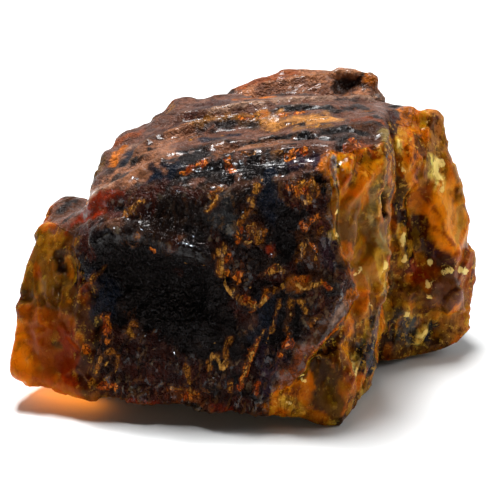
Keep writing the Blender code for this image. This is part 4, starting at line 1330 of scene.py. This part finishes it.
def add_floor(size):
    """Add the pale floor."""
    shape = bmesh.new()
    bmesh.ops.create_grid(shape, x_segments=1, y_segments=1, size=size / 2)
    mesh = bpy.data.meshes.new("floor")
    shape.to_mesh(mesh)
    shape.free()
    floor = bpy.data.objects.new("floor", mesh)
    bpy.context.scene.collection.objects.link(floor)
    material = bpy.data.materials.new("floor")
    finish = Finish(material)
    paper = finish.node("ShaderNodeBsdfPrincipled", None, 0,
                        Base_Color=rgba(PAPER), Roughness=PAPER_ROUGHNESS)
    finish.node("ShaderNodeOutputMaterial", None, 0, Surface=paper)
    mesh.materials.append(material)
    return floor


def add_light(name, place, size, aim, colour, watts):
    """Add a soft square light aimed at a point."""
    lamp = bpy.data.lights.new(name, "AREA")
    lamp.size = size
    lamp.color = colour
    lamp.energy = watts
    source = bpy.data.objects.new(name, lamp)
    source.location = place
    look = Vector(aim) - Vector(place)
    source.rotation_euler = look.to_track_quat("-Z", "Y").to_euler()
    bpy.context.scene.collection.objects.link(source)
    return source


def studio_sky(studio):
    """Make the surroundings: bright behind, dim in front."""
    world = bpy.data.worlds.new("studio")
    finish = Finish(world)
    place = finish.node("ShaderNodeTexCoord", None, 0)
    back = finish.node("ShaderNodeSeparateXYZ", None, 1, Vector=place)
    glow = finish.node("ShaderNodeMapRange", None, 0, Value=back, From_Min=0.0,
                       From_Max=SKY_REACH, To_Min=studio.front_sky, To_Max=studio.back_sky)
    surroundings = finish.node("ShaderNodeBackground", None, 0, Color=glow)
    finish.node("ShaderNodeOutputWorld", None, 0, Surface=surroundings)
    return world


def add_camera():
    """Add the camera and look through it."""
    camera = bpy.data.cameras.new("camera")
    camera.lens = LENS_MM
    camera.sensor_width = SENSOR_MM
    eye = bpy.data.objects.new("camera", camera)
    eye.location = CAMERA_PLACE
    eye.rotation_euler = CAMERA_LOOK.to_track_quat("-Z", "Y").to_euler()
    bpy.context.scene.collection.objects.link(eye)
    bpy.context.scene.camera = eye


class AMBER_OT_lump(bpy.types.Operator):
    """Make the lump of raw amber with its crust and its clear faces"""
    bl_idname = "amber.lump"
    bl_label = "Lump"

    def execute(self, context):
        shape = context.scene.amber_shape
        lump = even_skin(LUMP, shape.skin_voxel, shape.skin_passes)
        skin = Skin(lump.data)
        paint_skin(skin, raise_relief(skin, shape.relief_scale))
        lump.data.materials.clear()
        lump.data.materials.append(amber_finish(context.scene.amber_look))
        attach(lump, "root")
        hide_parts(SOLID)
        return {"FINISHED"}


class AMBER_OT_studio(bpy.types.Operator):
    """Make the floor, the lights and the camera"""
    bl_idname = "amber.studio"
    bl_label = "Studio"

    def execute(self, context):
        studio = context.scene.amber_studio
        add_floor(studio.floor_size)
        context.scene.world = studio_sky(studio)
        lights = {row[0]: add_light(*row, getattr(studio, row[0])) for row in LIGHTS}
        lights["glint"].visible_diffuse = False
        lights["spill"].data.shape = "ELLIPSE"
        lights["spill"].data.size_y = SPILL_WIDTH
        add_camera()
        context.scene.view_settings.view_transform = "Standard"
        return {"FINISHED"}


class AMBER_PT_panel(bpy.types.Panel):
    """Lists the steps that build the lump and its studio"""
    bl_idname = "AMBER_PT_panel"
    bl_label = "Raw Amber"
    bl_space_type = "VIEW_3D"
    bl_region_type = "UI"
    bl_category = "Raw Amber"

    def draw(self, context):
        scene = context.scene
        for settings in (scene.amber_shape, scene.amber_look, scene.amber_studio):
            for name in settings.bl_rna.properties.keys():
                if name not in {"rna_type", "name"}:
                    self.layout.prop(settings, name)
        self.layout.operator(AMBER_OT_lump.bl_idname)
        self.layout.operator(AMBER_OT_studio.bl_idname)


CLASSES = (AmberShape, AmberLook, AmberStudio, AMBER_OT_lump, AMBER_OT_studio, AMBER_PT_panel)


def register():
    """Register the classes and hang the settings on the scene."""
    for item in CLASSES:
        bpy.utils.register_class(item)
    bpy.types.Scene.amber_shape = PointerProperty(type=AmberShape)
    bpy.types.Scene.amber_look = PointerProperty(type=AmberLook)
    bpy.types.Scene.amber_studio = PointerProperty(type=AmberStudio)


def unregister():
    """Undo what register did."""
    del bpy.types.Scene.amber_studio
    del bpy.types.Scene.amber_look
    del bpy.types.Scene.amber_shape
    for item in reversed(CLASSES):
        bpy.utils.unregister_class(item)


def main():
    """Build the lump and the studio."""
    register()
    bpy.ops.amber.lump()
    bpy.ops.amber.studio()


if __name__ == "__main__":
    main()
